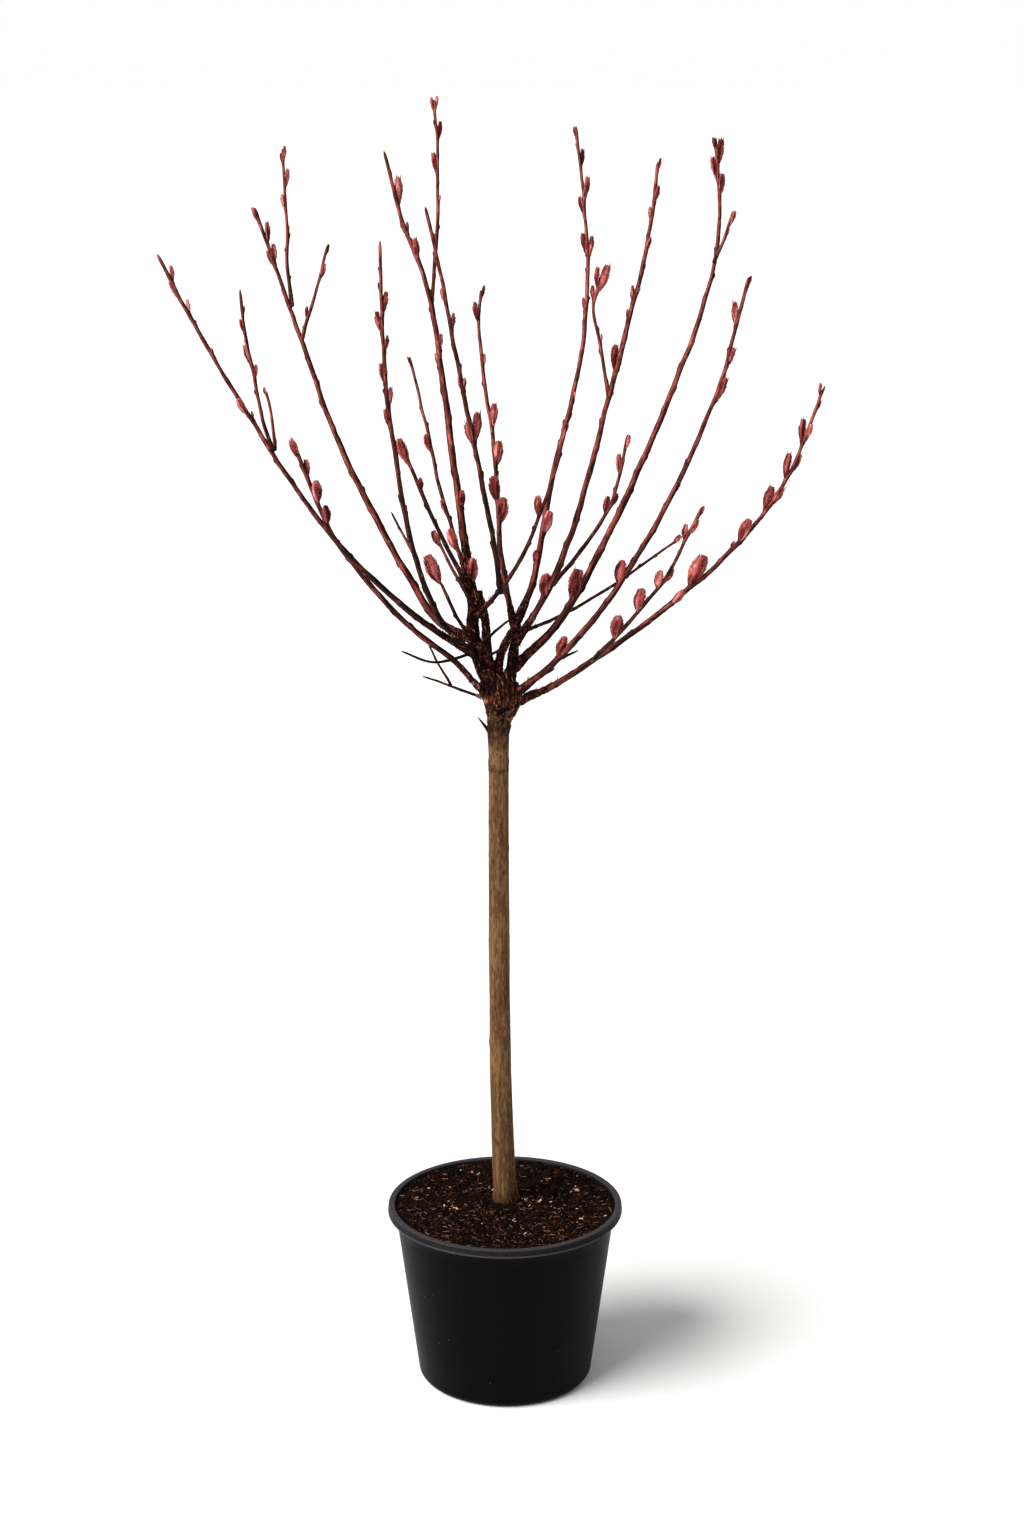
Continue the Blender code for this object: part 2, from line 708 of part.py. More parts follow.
def build_shoot(name, stems, parts, extras, guides):
    """The bough and the twigs of one shoot, each a solid, with a clear gap at both ends of the bough."""
    shoot = SHOOTS[name]
    start = stub_length(name, stems) + CLEAR
    end = stems[name].lengths[-1]
    fork = end * shoot.bough
    made = []
    if fork > start + RING_SPACING:
        body = tube(name, stems, start, fork - CLEAR / 2, parts, guides)
        add_side_shoots(name, stems, start, fork, extras, guides)
        add_catkins(name, stems, start, fork, extras)
        made.append(fused(f"bough_{name}", body, extras))
        start = fork + CLEAR / 2
    body = tube(name, stems, start, end, parts, guides)
    add_side_shoots(name, stems, start, end, extras, guides)
    add_catkins(name, stems, start, end + MM, extras)
    made.append(fused(f"twigs_{name}", body, extras))
    return made


def finish(item, material):
    item.data.materials.clear()
    item.data.materials.append(material)
    item.data.shade_smooth()
    item.data.set_sharp_from_angle(angle=math.radians(40))


def main():
    clear_scene()
    parts = new_collection("potted_pussy_willow")
    helpers = new_collection("sections")
    extras = new_collection("to_be_fused")
    helpers.hide_render = True
    materials = {name: new_material(name) for name in COLOURS}
    guides = {sides: ring_guide(sides, helpers) for sides in (3, 4, 6, 8, TRUNK_SIDES)}
    stems = all_stems()
    finish(build_pot(parts), materials["pot"])
    finish(build_compost(parts), materials["compost"])
    finish(build_trunk(stems, parts, extras, guides), materials["bark"])
    for name, shoot in SHOOTS.items():
        if shoot.bough is None:
            continue
        for item in build_shoot(name, stems, parts, extras, guides):
            finish(item, materials["shoot_bark"])


if __name__ == "__main__":
    main()
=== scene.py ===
"""Looks of a potted pussy willow grown as a small standard: a black nursery pot full of compost, one bare
stem, and a crown of long bare shoots that carry pink catkins. Metres, +Z up, in the packed part's frame."""

import json
import math
import random
from collections import namedtuple

import bpy
import numpy as np
from bpy.props import FloatProperty, FloatVectorProperty, IntProperty, PointerProperty
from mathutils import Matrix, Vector

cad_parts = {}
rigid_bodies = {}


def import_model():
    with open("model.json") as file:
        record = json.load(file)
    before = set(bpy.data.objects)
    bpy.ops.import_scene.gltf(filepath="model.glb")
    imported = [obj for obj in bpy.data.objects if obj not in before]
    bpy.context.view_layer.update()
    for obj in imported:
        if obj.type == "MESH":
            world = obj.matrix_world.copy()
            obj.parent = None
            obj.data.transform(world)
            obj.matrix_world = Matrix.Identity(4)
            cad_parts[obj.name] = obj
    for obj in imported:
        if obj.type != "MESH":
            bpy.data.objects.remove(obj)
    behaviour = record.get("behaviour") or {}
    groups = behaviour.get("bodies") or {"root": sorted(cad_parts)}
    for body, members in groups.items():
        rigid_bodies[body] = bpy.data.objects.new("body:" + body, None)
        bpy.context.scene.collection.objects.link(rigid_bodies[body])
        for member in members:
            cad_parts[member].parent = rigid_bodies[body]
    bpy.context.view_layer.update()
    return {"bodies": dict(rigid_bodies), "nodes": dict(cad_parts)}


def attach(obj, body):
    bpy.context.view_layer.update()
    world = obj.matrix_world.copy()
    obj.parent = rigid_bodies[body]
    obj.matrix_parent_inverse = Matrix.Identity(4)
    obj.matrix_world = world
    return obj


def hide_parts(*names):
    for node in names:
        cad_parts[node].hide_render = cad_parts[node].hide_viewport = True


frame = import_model()

bl_info = {
    "name": "Potted pussy willow",
    "version": (1, 0, 0),
    "blender": (4, 5, 0),
    "location": "3D View > Sidebar > Willow",
    "description": "Dresses the packed solids of a potted pussy willow with bark, buds and catkins",
    "category": "Object",
}

MM = 0.001
BODY = "root"

# Growth rule of the part's source: the numbers below are the same there
SEED = 7
TRUNK_DEPTH = 8 * MM
EYE = Vector((0.008, -2.73, 1.41))
STEM_STEP = 3 * MM
SWAY = 0.3 * MM
DEPTH_SWAY = 0.9 * MM
SWAY_WAVE = 85 * MM
SLIM_LENGTH = 14 * MM
SLIM_WIDTH = 0.30
PLUMP_LENGTH = 35 * MM
PLUMP_WIDTH = 0.50
CATKIN_FOOT = 0.12
COARSE_LENGTH = 17.5 * MM
CATKIN_LEAN = 9
CATKIN_UPRIGHT = 0.36
CATKIN_TURN = 50
CATKIN_OFFSET = 1.3 * MM

# The photograph's viewpoint: focal length and sensor, mm, degrees below level, and place
CAMERA_LENS = 62.109
CAMERA_SENSOR = 36.0
CAMERA_DIP = 14.5596
CAMERA_PLACE = (0.0077, -2.7302, 1.4100)
# Where the key light points, and how many degrees of the sky it fills, for a soft shadow
KEY_AIM = Vector((0.76, 0.48, -0.66))
KEY_SPREAD = 48
# Upward part of the directions where the studio's white walls end and its dimmer ceiling begins
WALLS_TOP = 0.10
CEILING_EDGE = 0.40

# Stem of the standard, from its flat cut on the compost up to the head: height, sideways place and
# diameter, mm
TRUNK = (
    (202.5, 0.5, 29.0), (208.5, 0.3, 26.6), (222, -0.6, 25.6), (270, -2.4, 25.0), (350, -4.8, 23.6),
    (460, -6.0, 22.6), (560, -6.4, 22.2), (650, -6.6, 21.8), (715, -6.6, 21.6), (737, -6.8, 23.2),
    (752, -5.2, 27.4), (763, -4.0, 32.6), (773, -2.8, 40.0), (782, -2.4, 41.0), (791, -5.0, 33.0),
    (799, -8.5, 24.0),
)

Shoot = namedtuple("Shoot", "parent path depth girth catkins", defaults=((),))
# path: the few places that the shoot's smooth curve passes in front elevation, from where it leaves its
# parent to its tip, as (sideways, height), mm. depth: how far its tip stands behind the pot's axis, mm.
# girth: diameter at foot and tip, mm. catkins: height of each root and its length, mm, with a minus sign
# where it leans to the left.
SHOOTS = {
    # The two short arms that the head forks into, one solid with the trunk
    "limb_left": Shoot(
        "trunk", ((-8, 776), (-24, 812), (-33, 846), (-33, 880), (-37, 906)),
        4, (18, 11), ((900, 26),),
    ),
    "limb_right": Shoot("trunk", ((1, 776), (8, 815), (14, 866)), 14, (15, 8)),
    # An old strand of wood beside each arm, which leaves the head and joins the arm again
    "strand_left": Shoot("trunk", ((-11, 792), (-18, 828), (-20, 858), (-28, 892)), -2, (11, 8)),
    "strand_right": Shoot("trunk", ((-9, 790), (-5, 820), (3, 840), (12, 856)), 4, (10, 8)),
    # Left half of the crown, from the outside in
    "left_arc": Shoot(
        "trunk", ((-20, 780), (-53, 817), (-110, 864), (-212, 994), (-236, 1031), (-311, 1158),
        (-352, 1239)),
        -40, (6.5, 3.6), ((1070, 8), (1075, -20), (1135, 8), (1179, 14), (1195, -19), (1210, 16)),
    ),
    "left_arc_fork": Shoot(
        "left_arc", ((-240, 1042), (-249, 1071), (-255, 1108), (-265, 1160), (-269, 1204)),
        -75, (4.2, 3.0), ((1114, 14), (1129, -19), (1160, -13), (1178, 8)),
    ),
    "left_arc_spur": Shoot(
        "left_arc", ((-237, 1041), (-239, 1068), (-244, 1100)),
        0, (3.6, 2.8), ((1094, -10),),
    ),
    "left_low": Shoot(
        "limb_left", ((-32, 825), (-80, 855), (-126, 894), (-176, 947), (-220, 1053)),
        -120, (7.5, 3.8), ((963, 18), (987, 22), (1013, 16), (1033, -19)),
    ),
    "left_high": Shoot(
        "limb_left", ((-29, 838), (-69, 860), (-99, 905), (-132, 966), (-172, 1050), (-207, 1151),
        (-252, 1285)),
        110, (8.5, 3.6), ((1228, -17), (1230, 19), (1251, 20), (1271, -16)),
    ),
    "left_high_top": Shoot(
        "left_high", ((-216, 1188), (-220, 1225), (-220, 1274), (-222, 1322), (-223, 1343)),
        160, (4.2, 3.0), ((1251, 8), (1283, -15), (1304, 18), (1330, -10), (1333, 14)),
    ),
    "left_high_fork": Shoot(
        "left_high", ((-206, 1155), (-192, 1202), (-179, 1248)),
        60, (4.0, 2.8), ((1173, -13), (1214, 18), (1237, 12)),
    ),
    "left_inner": Shoot(
        "limb_left", ((-29, 823), (-45, 836), (-71, 868), (-99, 951), (-111, 1023), (-122, 1108),
        (-125, 1191), (-126, 1252)),
        -205, (6.5, 3.4), ((974, 7), (1063, -18), (1083, 18), (1107, -19), (1142, 15), (1159, -20),
        (1179, 19), (1202, -8)),
    ),
    "left_inner_twig": Shoot("left_inner", ((-90, 922), (-107, 955), (-118, 976)), -60, (3.2, 2.4)),
    "left_back": Shoot(
        "limb_left", ((-38, 900), (-69, 1009), (-76, 1044), (-83, 1076), (-97, 1136)),
        195, (5.0, 3.2), ((937, -23), (977, -13), (1038, -21), (1127, -9)),
    ),
    "left_front": Shoot(
        "limb_left", ((-37, 892), (-81, 983), (-107, 1050)),
        -90, (5.2, 3.6), ((998, 12), (1026, -27)),
    ),
    "left_short": Shoot("limb_left", ((-34, 878), (-56, 919), (-74, 956)), 70, (4.2, 3.2), ((940, -17),)),
    "left_spur": Shoot("limb_left", ((-31, 834), (-49, 863), (-67, 902)), -50, (4.2, 3.4), ((902, -30),)),
    # Middle of the crown
    "middle_left": Shoot(
        "limb_left", ((-37, 906), (-53, 1030), (-71, 1167), (-81, 1214), (-101, 1265), (-121, 1341)),
        40, (9.0, 3.4), ((979, 18), (1124, -15), (1142, 16), (1232, 21), (1260, -14), (1260, 11),
        (1286, 28)),
    ),
    "middle_left_top": Shoot(
        "middle_left", ((-75, 1182), (-69, 1250), (-67, 1333), (-70, 1391)),
        105, (4.6, 3.0), ((1289, 8), (1319, -21), (1352, 18), (1379, -14), (1382, 12)),
    ),
    "middle_cross": Shoot(
        "limb_left", ((-28, 866), (-5, 893), (12, 917), (26, 946), (48, 1004), (63, 1063)),
        -175, (5.2, 3.0), ((973, -21), (1057, 9)),
    ),
    "middle_front": Shoot(
        "middle_cross", ((-4, 892), (-11, 940), (-30, 1040), (-49, 1133), (-64, 1216), (-80, 1286)),
        -235, (6.0, 3.2), ((1046, -25), (1049, 30), (1099, -14), (1102, 12), (1163, 15), (1190, -13)),
    ),
    "middle_back": Shoot(
        "limb_right", ((9, 857), (-3, 926), (-11, 1045), (-18, 1092), (-26, 1167), (-24, 1203)),
        235, (6.5, 3.4), ((964, 28), (986, -27), (1023, 28), (1064, 25), (1126, 14), (1171, -22),
        (1194, 14)),
    ),
    # Right half of the crown, from the inside out
    "right_tall": Shoot(
        "limb_right", ((14, 862), (29, 900), (48, 1004), (73, 1109), (82, 1165), (84, 1242), (72, 1365)),
        185, (7.5, 3.2), ((920, -14), (953, 24), (1061, -9), (1091, 9), (1182, -14), (1236, 22),
        (1239, -22), (1278, -18), (1293, 22), (1326, 18), (1353, -12)),
    ),
    "right_inner": Shoot(
        "limb_right", ((12, 838), (36, 876), (54, 912), (74, 967), (108, 1097), (147, 1262), (154, 1330)),
        -165, (7.5, 3.4), ((886, -26), (1121, -26), (1124, 10), (1171, -10), (1189, -15), (1221, 8),
        (1243, 13), (1272, -12), (1291, 15), (1321, 11)),
    ),
    "right_inner_fork": Shoot(
        "right_inner", ((107, 1095), (98, 1146), (91, 1185), (102, 1228)),
        -120, (4.0, 2.8), ((1149, 8), (1191, -15), (1199, 29), (1205, -19)),
    ),
    "right_mid": Shoot(
        "right_inner", ((51, 899), (86, 944), (111, 985), (127, 1056)),
        60, (4.8, 3.2), ((974, -18), (982, 14), (1016, -19), (1041, 15)),
    ),
    "right_high": Shoot(
        "limb_right", ((6, 806), (58, 861), (101, 938), (154, 1056), (204, 1192), (217, 1265),
        (212, 1354)),
        130, (9.0, 3.4), ((883, -32), (1034, 13), (1297, 22), (1312, -24), (1327, 26), (1342, -12)),
    ),
    "right_high_fork": Shoot(
        "right_high", ((213, 1232), (222, 1253), (231, 1282)),
        95, (3.8, 3.0), ((1256, 9), (1267, 16)),
    ),
    "right_outer": Shoot(
        "trunk", ((6, 780), (42, 806), (101, 872), (151, 951), (187, 1022), (224, 1118), (248, 1216)),
        -150, (7.5, 3.4), ((821, -23), (900, -25), (1089, 27), (1126, 18), (1168, -22), (1168, -8),
        (1205, 12)),
    ),
    "right_thin": Shoot(
        "limb_right", ((12, 846), (50, 862), (96, 887), (185, 950)),
        215, (4.2, 2.8), ((943, 12),),
    ),
    "right_arc": Shoot(
        "trunk", ((8, 770), (58, 795), (160, 867), (190, 893), (224, 922), (286, 999), (329, 1106)),
        30, (7.5, 3.2), ((880, 18), (896, -35), (936, -9), (944, -26), (944, 9), (976, -27), (984, 23),
        (1009, -27), (1017, 21), (1044, -26), (1047, 20), (1081, 12), (1095, -13)),
    ),
    "right_arc_fork": Shoot(
        "right_arc", ((96, 821), (135, 864), (168, 906), (205, 981)),
        -140, (4.8, 3.2), ((844, -29), (871, -26), (896, -20), (903, 16), (945, -16), (953, 17),
        (970, 12)),
    ),
    # Dead twigs round the head
    "dead_left": Shoot("limb_left", ((-28, 828), (-74, 816), (-109, 828)), -30, (3.6, 2.2)),
    "dead_snag": Shoot("trunk", ((-15, 738), (-22, 748), (-29, 757)), 4, (5.5, 1.4)),
    "dead_low": Shoot("trunk", ((-18, 776), (-48, 787), (-87, 801)), 25, (3.8, 2.2)),
    "dead_low_fork": Shoot("dead_low", ((-57, 792), (-72, 818), (-81, 837)), 60, (2.8, 2.0)),
    "dead_right": Shoot("trunk", ((14, 779), (38, 800), (53, 809)), 34, (3.8, 2.4)),
    "dead_right_low": Shoot("trunk", ((12, 773), (25, 783), (36, 787)), 30, (3.8, 2.6)),
    "dead_outer": Shoot("right_outer", ((54, 817), (65, 823), (78, 829)), -10, (3.4, 2.0)),
    "dead_inner": Shoot("limb_left", ((-24, 836), (-4, 854), (6, 862)), -30, (3.4, 2.6)),
    "dead_inner_low": Shoot("limb_left", ((-22, 820), (-6, 829), (1, 832)), -26, (3.4, 2.6)),
}

# Pot, as in the part's source
POT_HEIGHT = 0.203
LIP_RADIUS = 0.130
LIP_DEPTH = 0.009
LIP_BORE = 0.1225
FOOT_RADIUS = 0.0957
WALL_SLOPE = 0.132
WALL = 0.0025
FLOOR = 0.003
FOOT_EDGE = 0.010
COMPOST_RIM = 0.2003
COMPOST_CROWN = 0.2022
# Here only: rounding of the lip's edges, finer than in the part's source, radius of the innermost ring of the
# flat underside, and corners and rings of the compost's surface
LIP_EDGE = 0.0016
UNDERSIDE = 0.060
BED_SIDES = 420
BED_RINGS = 84

# Knots on the stem: height, mm, degrees round from the front towards the right, and size, mm; and height of
# the ring-shaped scar under the head
KNOTS = (
    (705, -78, 3.2), (700, -42, 3.4), (706, 82, 3.0), (639, -62, 3.0), (388, -76, 3.4), (276, -34, 2.6),
    (272, -25, 2.2), (520, 150, 3.6), (610, 110, 3.0), (450, -140, 3.4), (330, 60, 2.4), (585, 25, 2.0),
)
RING_SCAR = 0.6976
# Heights up the stem and head: where the smooth bark darkens, sinks under the torn bark and ends, where the
# torn bark begins and has its full thickness, and up to where smooth patches and knobs show in it
DARK_FROM = 0.716
DIVE_FROM = 0.744
STEM_TOP = 0.752
HEAD_BARK = (0.736, 0.762)
SMOOTH_TO = 0.786
KNOBBY_TO = 0.808
# Fineness of the meshes: distance from ring to ring, and size of the voxels that join the head's limbs
STEM_SPACING = 1.9 * MM
HEAD_SPACING = 1.5 * MM
SHOOT_SPACING = 2.0 * MM
HEAD_VOXEL = 0.88 * MM

# Width of a slim and of a full catkin's silk, as shares of its length
SLIM_SILK = 0.35
FULL_SILK = 0.58
# Share of its length up to which a catkin's silk body reaches; tufts and hair make the rest
BODY_REACH = 0.93

# Clusters of wood chips on the compost: place from the pot's axis, number and size, mm
CHIP_CLUSTERS = (
    (-22, 38, 6, 1.7), (-56, -14, 7, 1.8), (-99, 14, 3, 1.5), (-66, -6, 3, 1.3), (82, 36, 6, 2.1),
    (85, -42, 4, 2.0), (24, 8, 6, 1.4), (12, 12, 4, 1.2), (45, 64, 4, 1.8), (36, 6, 4, 1.7), (8, -46, 4, 1.3),
    (-35, 84, 3, 1.3), (52, -12, 2, 1.3),
)

Stem = namedtuple("Stem", "points seen radii lengths")
Line = namedtuple("Line", "centres radii lengths along side across")
CatkinAxis = namedtuple("CatkinAxis", "foot direction out length width")


# Growth rule, as in the part's source


def slid(sideways, height, depth):
    """The point seen at this place on the plane through the pot's axis, moved to this depth."""
    seen = Vector((sideways, 0.0, height))
    return EYE + (seen - EYE) * (1 - depth / EYE.y)


def stem_of(points, seen, radii):
    """A stem of these points, with the distance along it at each."""
    lengths = [0.0]
    for first, second in zip(points, points[1:]):
        lengths.append(lengths[-1] + (second - first).length)
    return Stem(points, seen, radii, lengths)


def trunk_stem():
    """The stem of the standard, with the swollen head of the graft at its top."""
    seen = [(sideways * MM, height * MM) for height, sideways, _ in TRUNK]
    points = [Vector((sideways, TRUNK_DEPTH, height)) for sideways, height in seen]
    return stem_of(points, seen, [diameter * MM / 2 for _, _, diameter in TRUNK])


def blend(low, high, first, second, value):
    """The point between two points whose own places are low and high, at this value."""
    return (first * (high - value) + second * (value - low)) / (high - low)


def smooth_curve(places, spacing):
    """Evenly dense points of a centripetal Catmull-Rom curve through the places."""
    ends = [places[0] * 2 - places[1]] + places + [places[-1] * 2 - places[-2]]
    points = []
    for index in range(1, len(ends) - 2):
        a, b, c, d = ends[index - 1 : index + 3]
        ta = 0.0
        tb = ta + math.sqrt((b - a).length)
        tc = tb + math.sqrt((c - b).length)
        td = tc + math.sqrt((d - c).length)
        steps = max(2, round((c - b).length / spacing))
        for step in range(steps):
            t = tb + (tc - tb) * step / steps
            ab = blend(ta, tb, a, b, t)
            bc = blend(tb, tc, b, c, t)
            cd = blend(tc, td, c, d, t)
            points.append(blend(tb, tc, blend(ta, tc, ab, bc, t), blend(tb, td, bc, cd, t), t))
    points.append(places[-1])
    return points


def nearest(stem, place):
    """Index of the stem's point that is seen nearest to this place."""
    return min(
        range(len(stem.seen)),
        key=lambda i: (stem.seen[i][0] - place[0]) ** 2 + (stem.seen[i][1] - place[1]) ** 2,
    )


def shoot_stem(name, parent):
    """The axis of a shoot: it starts on its parent's axis, follows its path and drifts to its depth."""
    shoot = SHOOTS[name]
    draw = random.Random(f"{SEED} {name}")
    phases = [draw.uniform(0, 2 * math.pi) for _ in range(4)]
    places = [Vector(place) * MM for place in shoot.path]
    root = nearest(parent, places[0])
    inside = Vector(parent.seen[root])
    lead = max(1, round((places[0] - inside).length / STEM_STEP))
    curve = [inside.lerp(places[0], step / lead) for step in range(lead)]
    curve += smooth_curve(places, STEM_STEP)
    foot_depth = parent.points[root].y
    points = []
    seen = []
    radii = []
    for index, place in enumerate(curve):
        t = index / (len(curve) - 1)
        depth = foot_depth + (shoot.depth * MM - foot_depth) * math.sin(t * math.pi / 2)
        turns = index * STEM_STEP / SWAY_WAVE * 2 * math.pi
        ease = min(1.0, 4 * t) * min(1.0, 6 * (1 - t))
        waves = [math.sin(turns * pitch + phase) for pitch, phase in zip((1, 2.3, 1, 2.1), phases)]
        side = place.x + SWAY * ease * (waves[0] + waves[1] / 2)
        depth += DEPTH_SWAY * ease * (waves[2] + waves[3] / 2)
        seen.append((side, place.y))
        points.append(slid(side, place.y, depth))
        radii.append((shoot.girth[0] + (shoot.girth[1] - shoot.girth[0]) * t) * MM / 2)
    return stem_of(points, seen, radii)


def length_at_height(stem, height):
    """Distance along the stem to where it is seen at this height."""
    index = min(range(len(stem.seen)), key=lambda i: abs(stem.seen[i][1] - height))
    return stem.lengths[index]


def place_along(stem, length):
    """(point, tangent) at this distance along the stem."""
    index = 1
    while stem.lengths[index] < length and index < len(stem.lengths) - 1:
        index += 1
    start, end = stem.lengths[index - 1], stem.lengths[index]
    point = stem.points[index - 1].lerp(stem.points[index], (length - start) / (end - start))
    return point, (stem.points[index] - stem.points[index - 1]).normalized()


def catkin_width(length):
    """Width of a catkin: the longer ones are rounder for their length."""
    share = (length - SLIM_LENGTH) / (PLUMP_LENGTH - SLIM_LENGTH)
    share = min(1.0, max(0.0, share))
    return length * (SLIM_WIDTH + (PLUMP_WIDTH - SLIM_WIDTH) * share)


def catkin_axis(stem, height, size, draw):
    """Where a catkin stands and points: more upright than its stem, and leaning outwards."""
    side = math.copysign(1.0, size)
    length = abs(size) * MM
    root, tangent = place_along(stem, length_at_height(stem, height * MM))
    turn = math.radians(draw.uniform(-CATKIN_TURN, CATKIN_TURN))
    out = Vector((side * math.cos(turn), math.sin(turn), 0.0))
    out = (out - tangent * out.dot(tangent)).normalized()
    risen = tangent.lerp(Vector((0.0, 0.0, 1.0)), CATKIN_UPRIGHT).normalized()
    lean = math.radians(CATKIN_LEAN)
    direction = (risen * math.cos(lean) + out * math.sin(lean)).normalized()
    return CatkinAxis(root + out * CATKIN_OFFSET, direction, out, length, catkin_width(length))


def all_stems():
    """Every stem by name. A shoot's parent stands before it in the table."""
    stems = {"trunk": trunk_stem()}
    for name, shoot in SHOOTS.items():
        stems[name] = shoot_stem(name, stems[shoot.parent])
    return stems


STEMS = all_stems()


def stems_in(part):
    """Names of the shoots in this part of the crown, those on a shoot of it included."""
    if part == "head":
        return [name for name in SHOOTS if name.startswith(("limb_", "strand_"))]
    return [name for name in SHOOTS if name.startswith(f"{part}_")]


def catkins_in(part):
    """Axes of the catkins on this part of the crown."""
    found = []
    names = stems_in(part) + (["limb_left"] if part == "left" else [])
    for name in names:
        draw = random.Random(f"{SEED} catkins {name}")
        for height, size in SHOOTS[name].catkins:
            found.append(catkin_axis(STEMS[name], height, size, draw))
    return found


# Shapes


def noise(points, seed):
    """Smooth noise from -1 to 1 at each point, with about one rise or fall in each unit."""
    cells = np.floor(points).astype(np.int64)
    share = points - cells
    share = share * share * (3 - 2 * share)
    total = np.zeros(points.shape[:-1])
    for corner in np.ndindex(2, 2, 2):
        key = (cells + corner) @ np.array((73856093, 19349663, 83492791)) + seed * 40503
        key = (key ^ (key >> 13)) * 1274126177 & 0x7FFFFFFF
        key = (key ^ (key >> 16)) * 668265263 & 0x7FFFFFFF
        weight = np.where(corner, share, 1 - share).prod(axis=-1)
        total += weight * (key / 0x3FFFFFFF - 1)
    return total


def streaky(points, seed):
    """Noise of two sizes from about -1 to 1, the finer one twice as fine."""
    return 0.6 * noise(points, seed) + 0.5 * noise(points * 2.1, seed + 1)


def bell(values):
    """1 at 0, and falling off to both sides."""
    return np.exp(-(values**2))


def ramp(values, start, width):
    """0 up to start, and from there up to 1 over the width."""
    return np.clip((values - start) / width, 0, 1)


def unit(vectors):
    return vectors / np.linalg.norm(vectors, axis=-1, keepdims=True)


def corner_angles(steps):
    """Angle of each of this many corners, evenly round."""
    return np.arange(steps) * 2 * math.pi / steps


def on_circle(angles):
    """(cosine, sine) of each angle."""
    return np.stack((np.cos(angles), np.sin(angles)), axis=-1)


def wrapped(angles, width, rise):
    """Places on a tube of this width, for streaks that run along it."""
    angles, rise = np.broadcast_arrays(angles, rise)
    return np.concatenate((on_circle(angles) * width, rise[..., None]), axis=-1)


def between(first, second, angles, flatness=1.0):
    """Directions at these angles from the first direction towards the second."""
    return first * np.cos(angles)[..., None] + second * np.sin(angles)[..., None] * flatness


def sampled(stem, start, end, spacing):
    """The stretch of a stem from start to end as evenly spaced rings, with the directions of each."""
    count = max(3, round((end - start) / spacing) + 1)
    lengths = np.linspace(start, end, count)
    points = np.array(stem.points)
    centres = np.stack([np.interp(lengths, stem.lengths, points[:, axis]) for axis in range(3)], axis=1)
    radii = np.interp(lengths, stem.lengths, stem.radii)
    return line_of(centres, radii, lengths)


def line_of(centres, radii, lengths):
    """Rings whose side directions turn no more than the line does."""
    along = unit(np.gradient(centres, axis=0))
    side = np.cross(along[0], (0.0, 1.0, 0.0) if abs(along[0][1]) < 0.9 else (1.0, 0.0, 0.0))
    sides = []
    for tangent in along:
        side = unit(side - tangent * (side @ tangent))
        sides.append(side)
    sides = np.array(sides)
    return Line(centres, radii, lengths, along, sides, np.cross(along, sides))


def around(line, steps):
    """(outward directions, angles) of each corner of the line's rings."""
    angles = corner_angles(steps)
    return between(line.side[:, None], line.across[:, None], angles), angles


def skin(rings):
    """(points, faces) of the closed skin over rings of corners, with a pole at each end. The faces come
    ring by ring, and then those of the two ends."""
    count, steps, _ = rings.shape
    poles = np.array((rings[0].mean(axis=0), rings[-1].mean(axis=0)))
    corners = np.arange(count * steps).reshape(count, steps)
    after = np.roll(corners, -1, axis=1)
    quads = np.stack((corners[:-1], after[:-1], after[1:], corners[1:]), axis=-1).reshape(-1, 4)
    first = np.stack((np.full(steps, count * steps), after[0], corners[0]), axis=1)
    last = np.stack((np.full(steps, count * steps + 1), corners[-1], after[-1]), axis=1)
    return np.concatenate((rings.reshape(-1, 3), poles)), (quads, first, last)


def levels_of(values, tones):
    """Finish numbers of values from 0 to 1 in a series of tones."""
    return np.clip((values * len(tones)).astype(int), 0, len(tones) - 1)


def face_tones(values, tones):
    """Finish numbers of a skin's faces, from a value of 0 to 1 at each corner of its rings."""
    values = np.clip(values, 0, 0.99)
    after = np.roll(values, -1, axis=1)
    middle = (values[:-1] + values[1:] + after[:-1] + after[1:]).reshape(-1) / 4
    return levels_of(np.concatenate((middle, values[0], values[-1])), tones)


def placed(name, data):
    """A new object of this data, in the scene."""
    item = bpy.data.objects.new(name, data)
    bpy.context.scene.collection.objects.link(item)
    return item


def mesh_of(name, points, faces):
    """A new mesh of these points and lists of point numbers."""
    mesh = bpy.data.meshes.new(name)
    mesh.from_pydata(points.tolist(), [], faces)
    return mesh


class Pile:
    """Many shapes gathered for one mesh, with a finish number for each face."""

    def __init__(self):
        self.points = []
        self.faces = []
        self.tones = []
        self.count = 0

    def add(self, points, faces, tones=0):
        """One shape: its points, its faces as arrays of point numbers, and its finish number, or one a
        face."""
        total = sum(len(block) for block in faces)
        self.points.append(points)
        for block in faces:
            self.faces += (block + self.count).tolist()
        self.tones += np.broadcast_to(tones, (total,)).tolist()
        self.count += len(points)

    def piece(self, name, finishes, replaced=()):
        """The mesh as a piece of the plant, which stands for the CAD nodes named in replaced."""
        mesh = mesh_of(name, np.concatenate(self.points), self.faces)
        for finish in finishes:
            mesh.materials.append(finish)
        mesh.polygons.foreach_set("material_index", self.tones)
        mesh.shade_smooth()
        item = placed(name, mesh)
        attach(item, BODY)
        if replaced:
            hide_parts(*replaced)


# Where the three corners of a needle's foot stand round it, in radians
NEEDLE_CORNERS = (0, 2.1, 4.2)


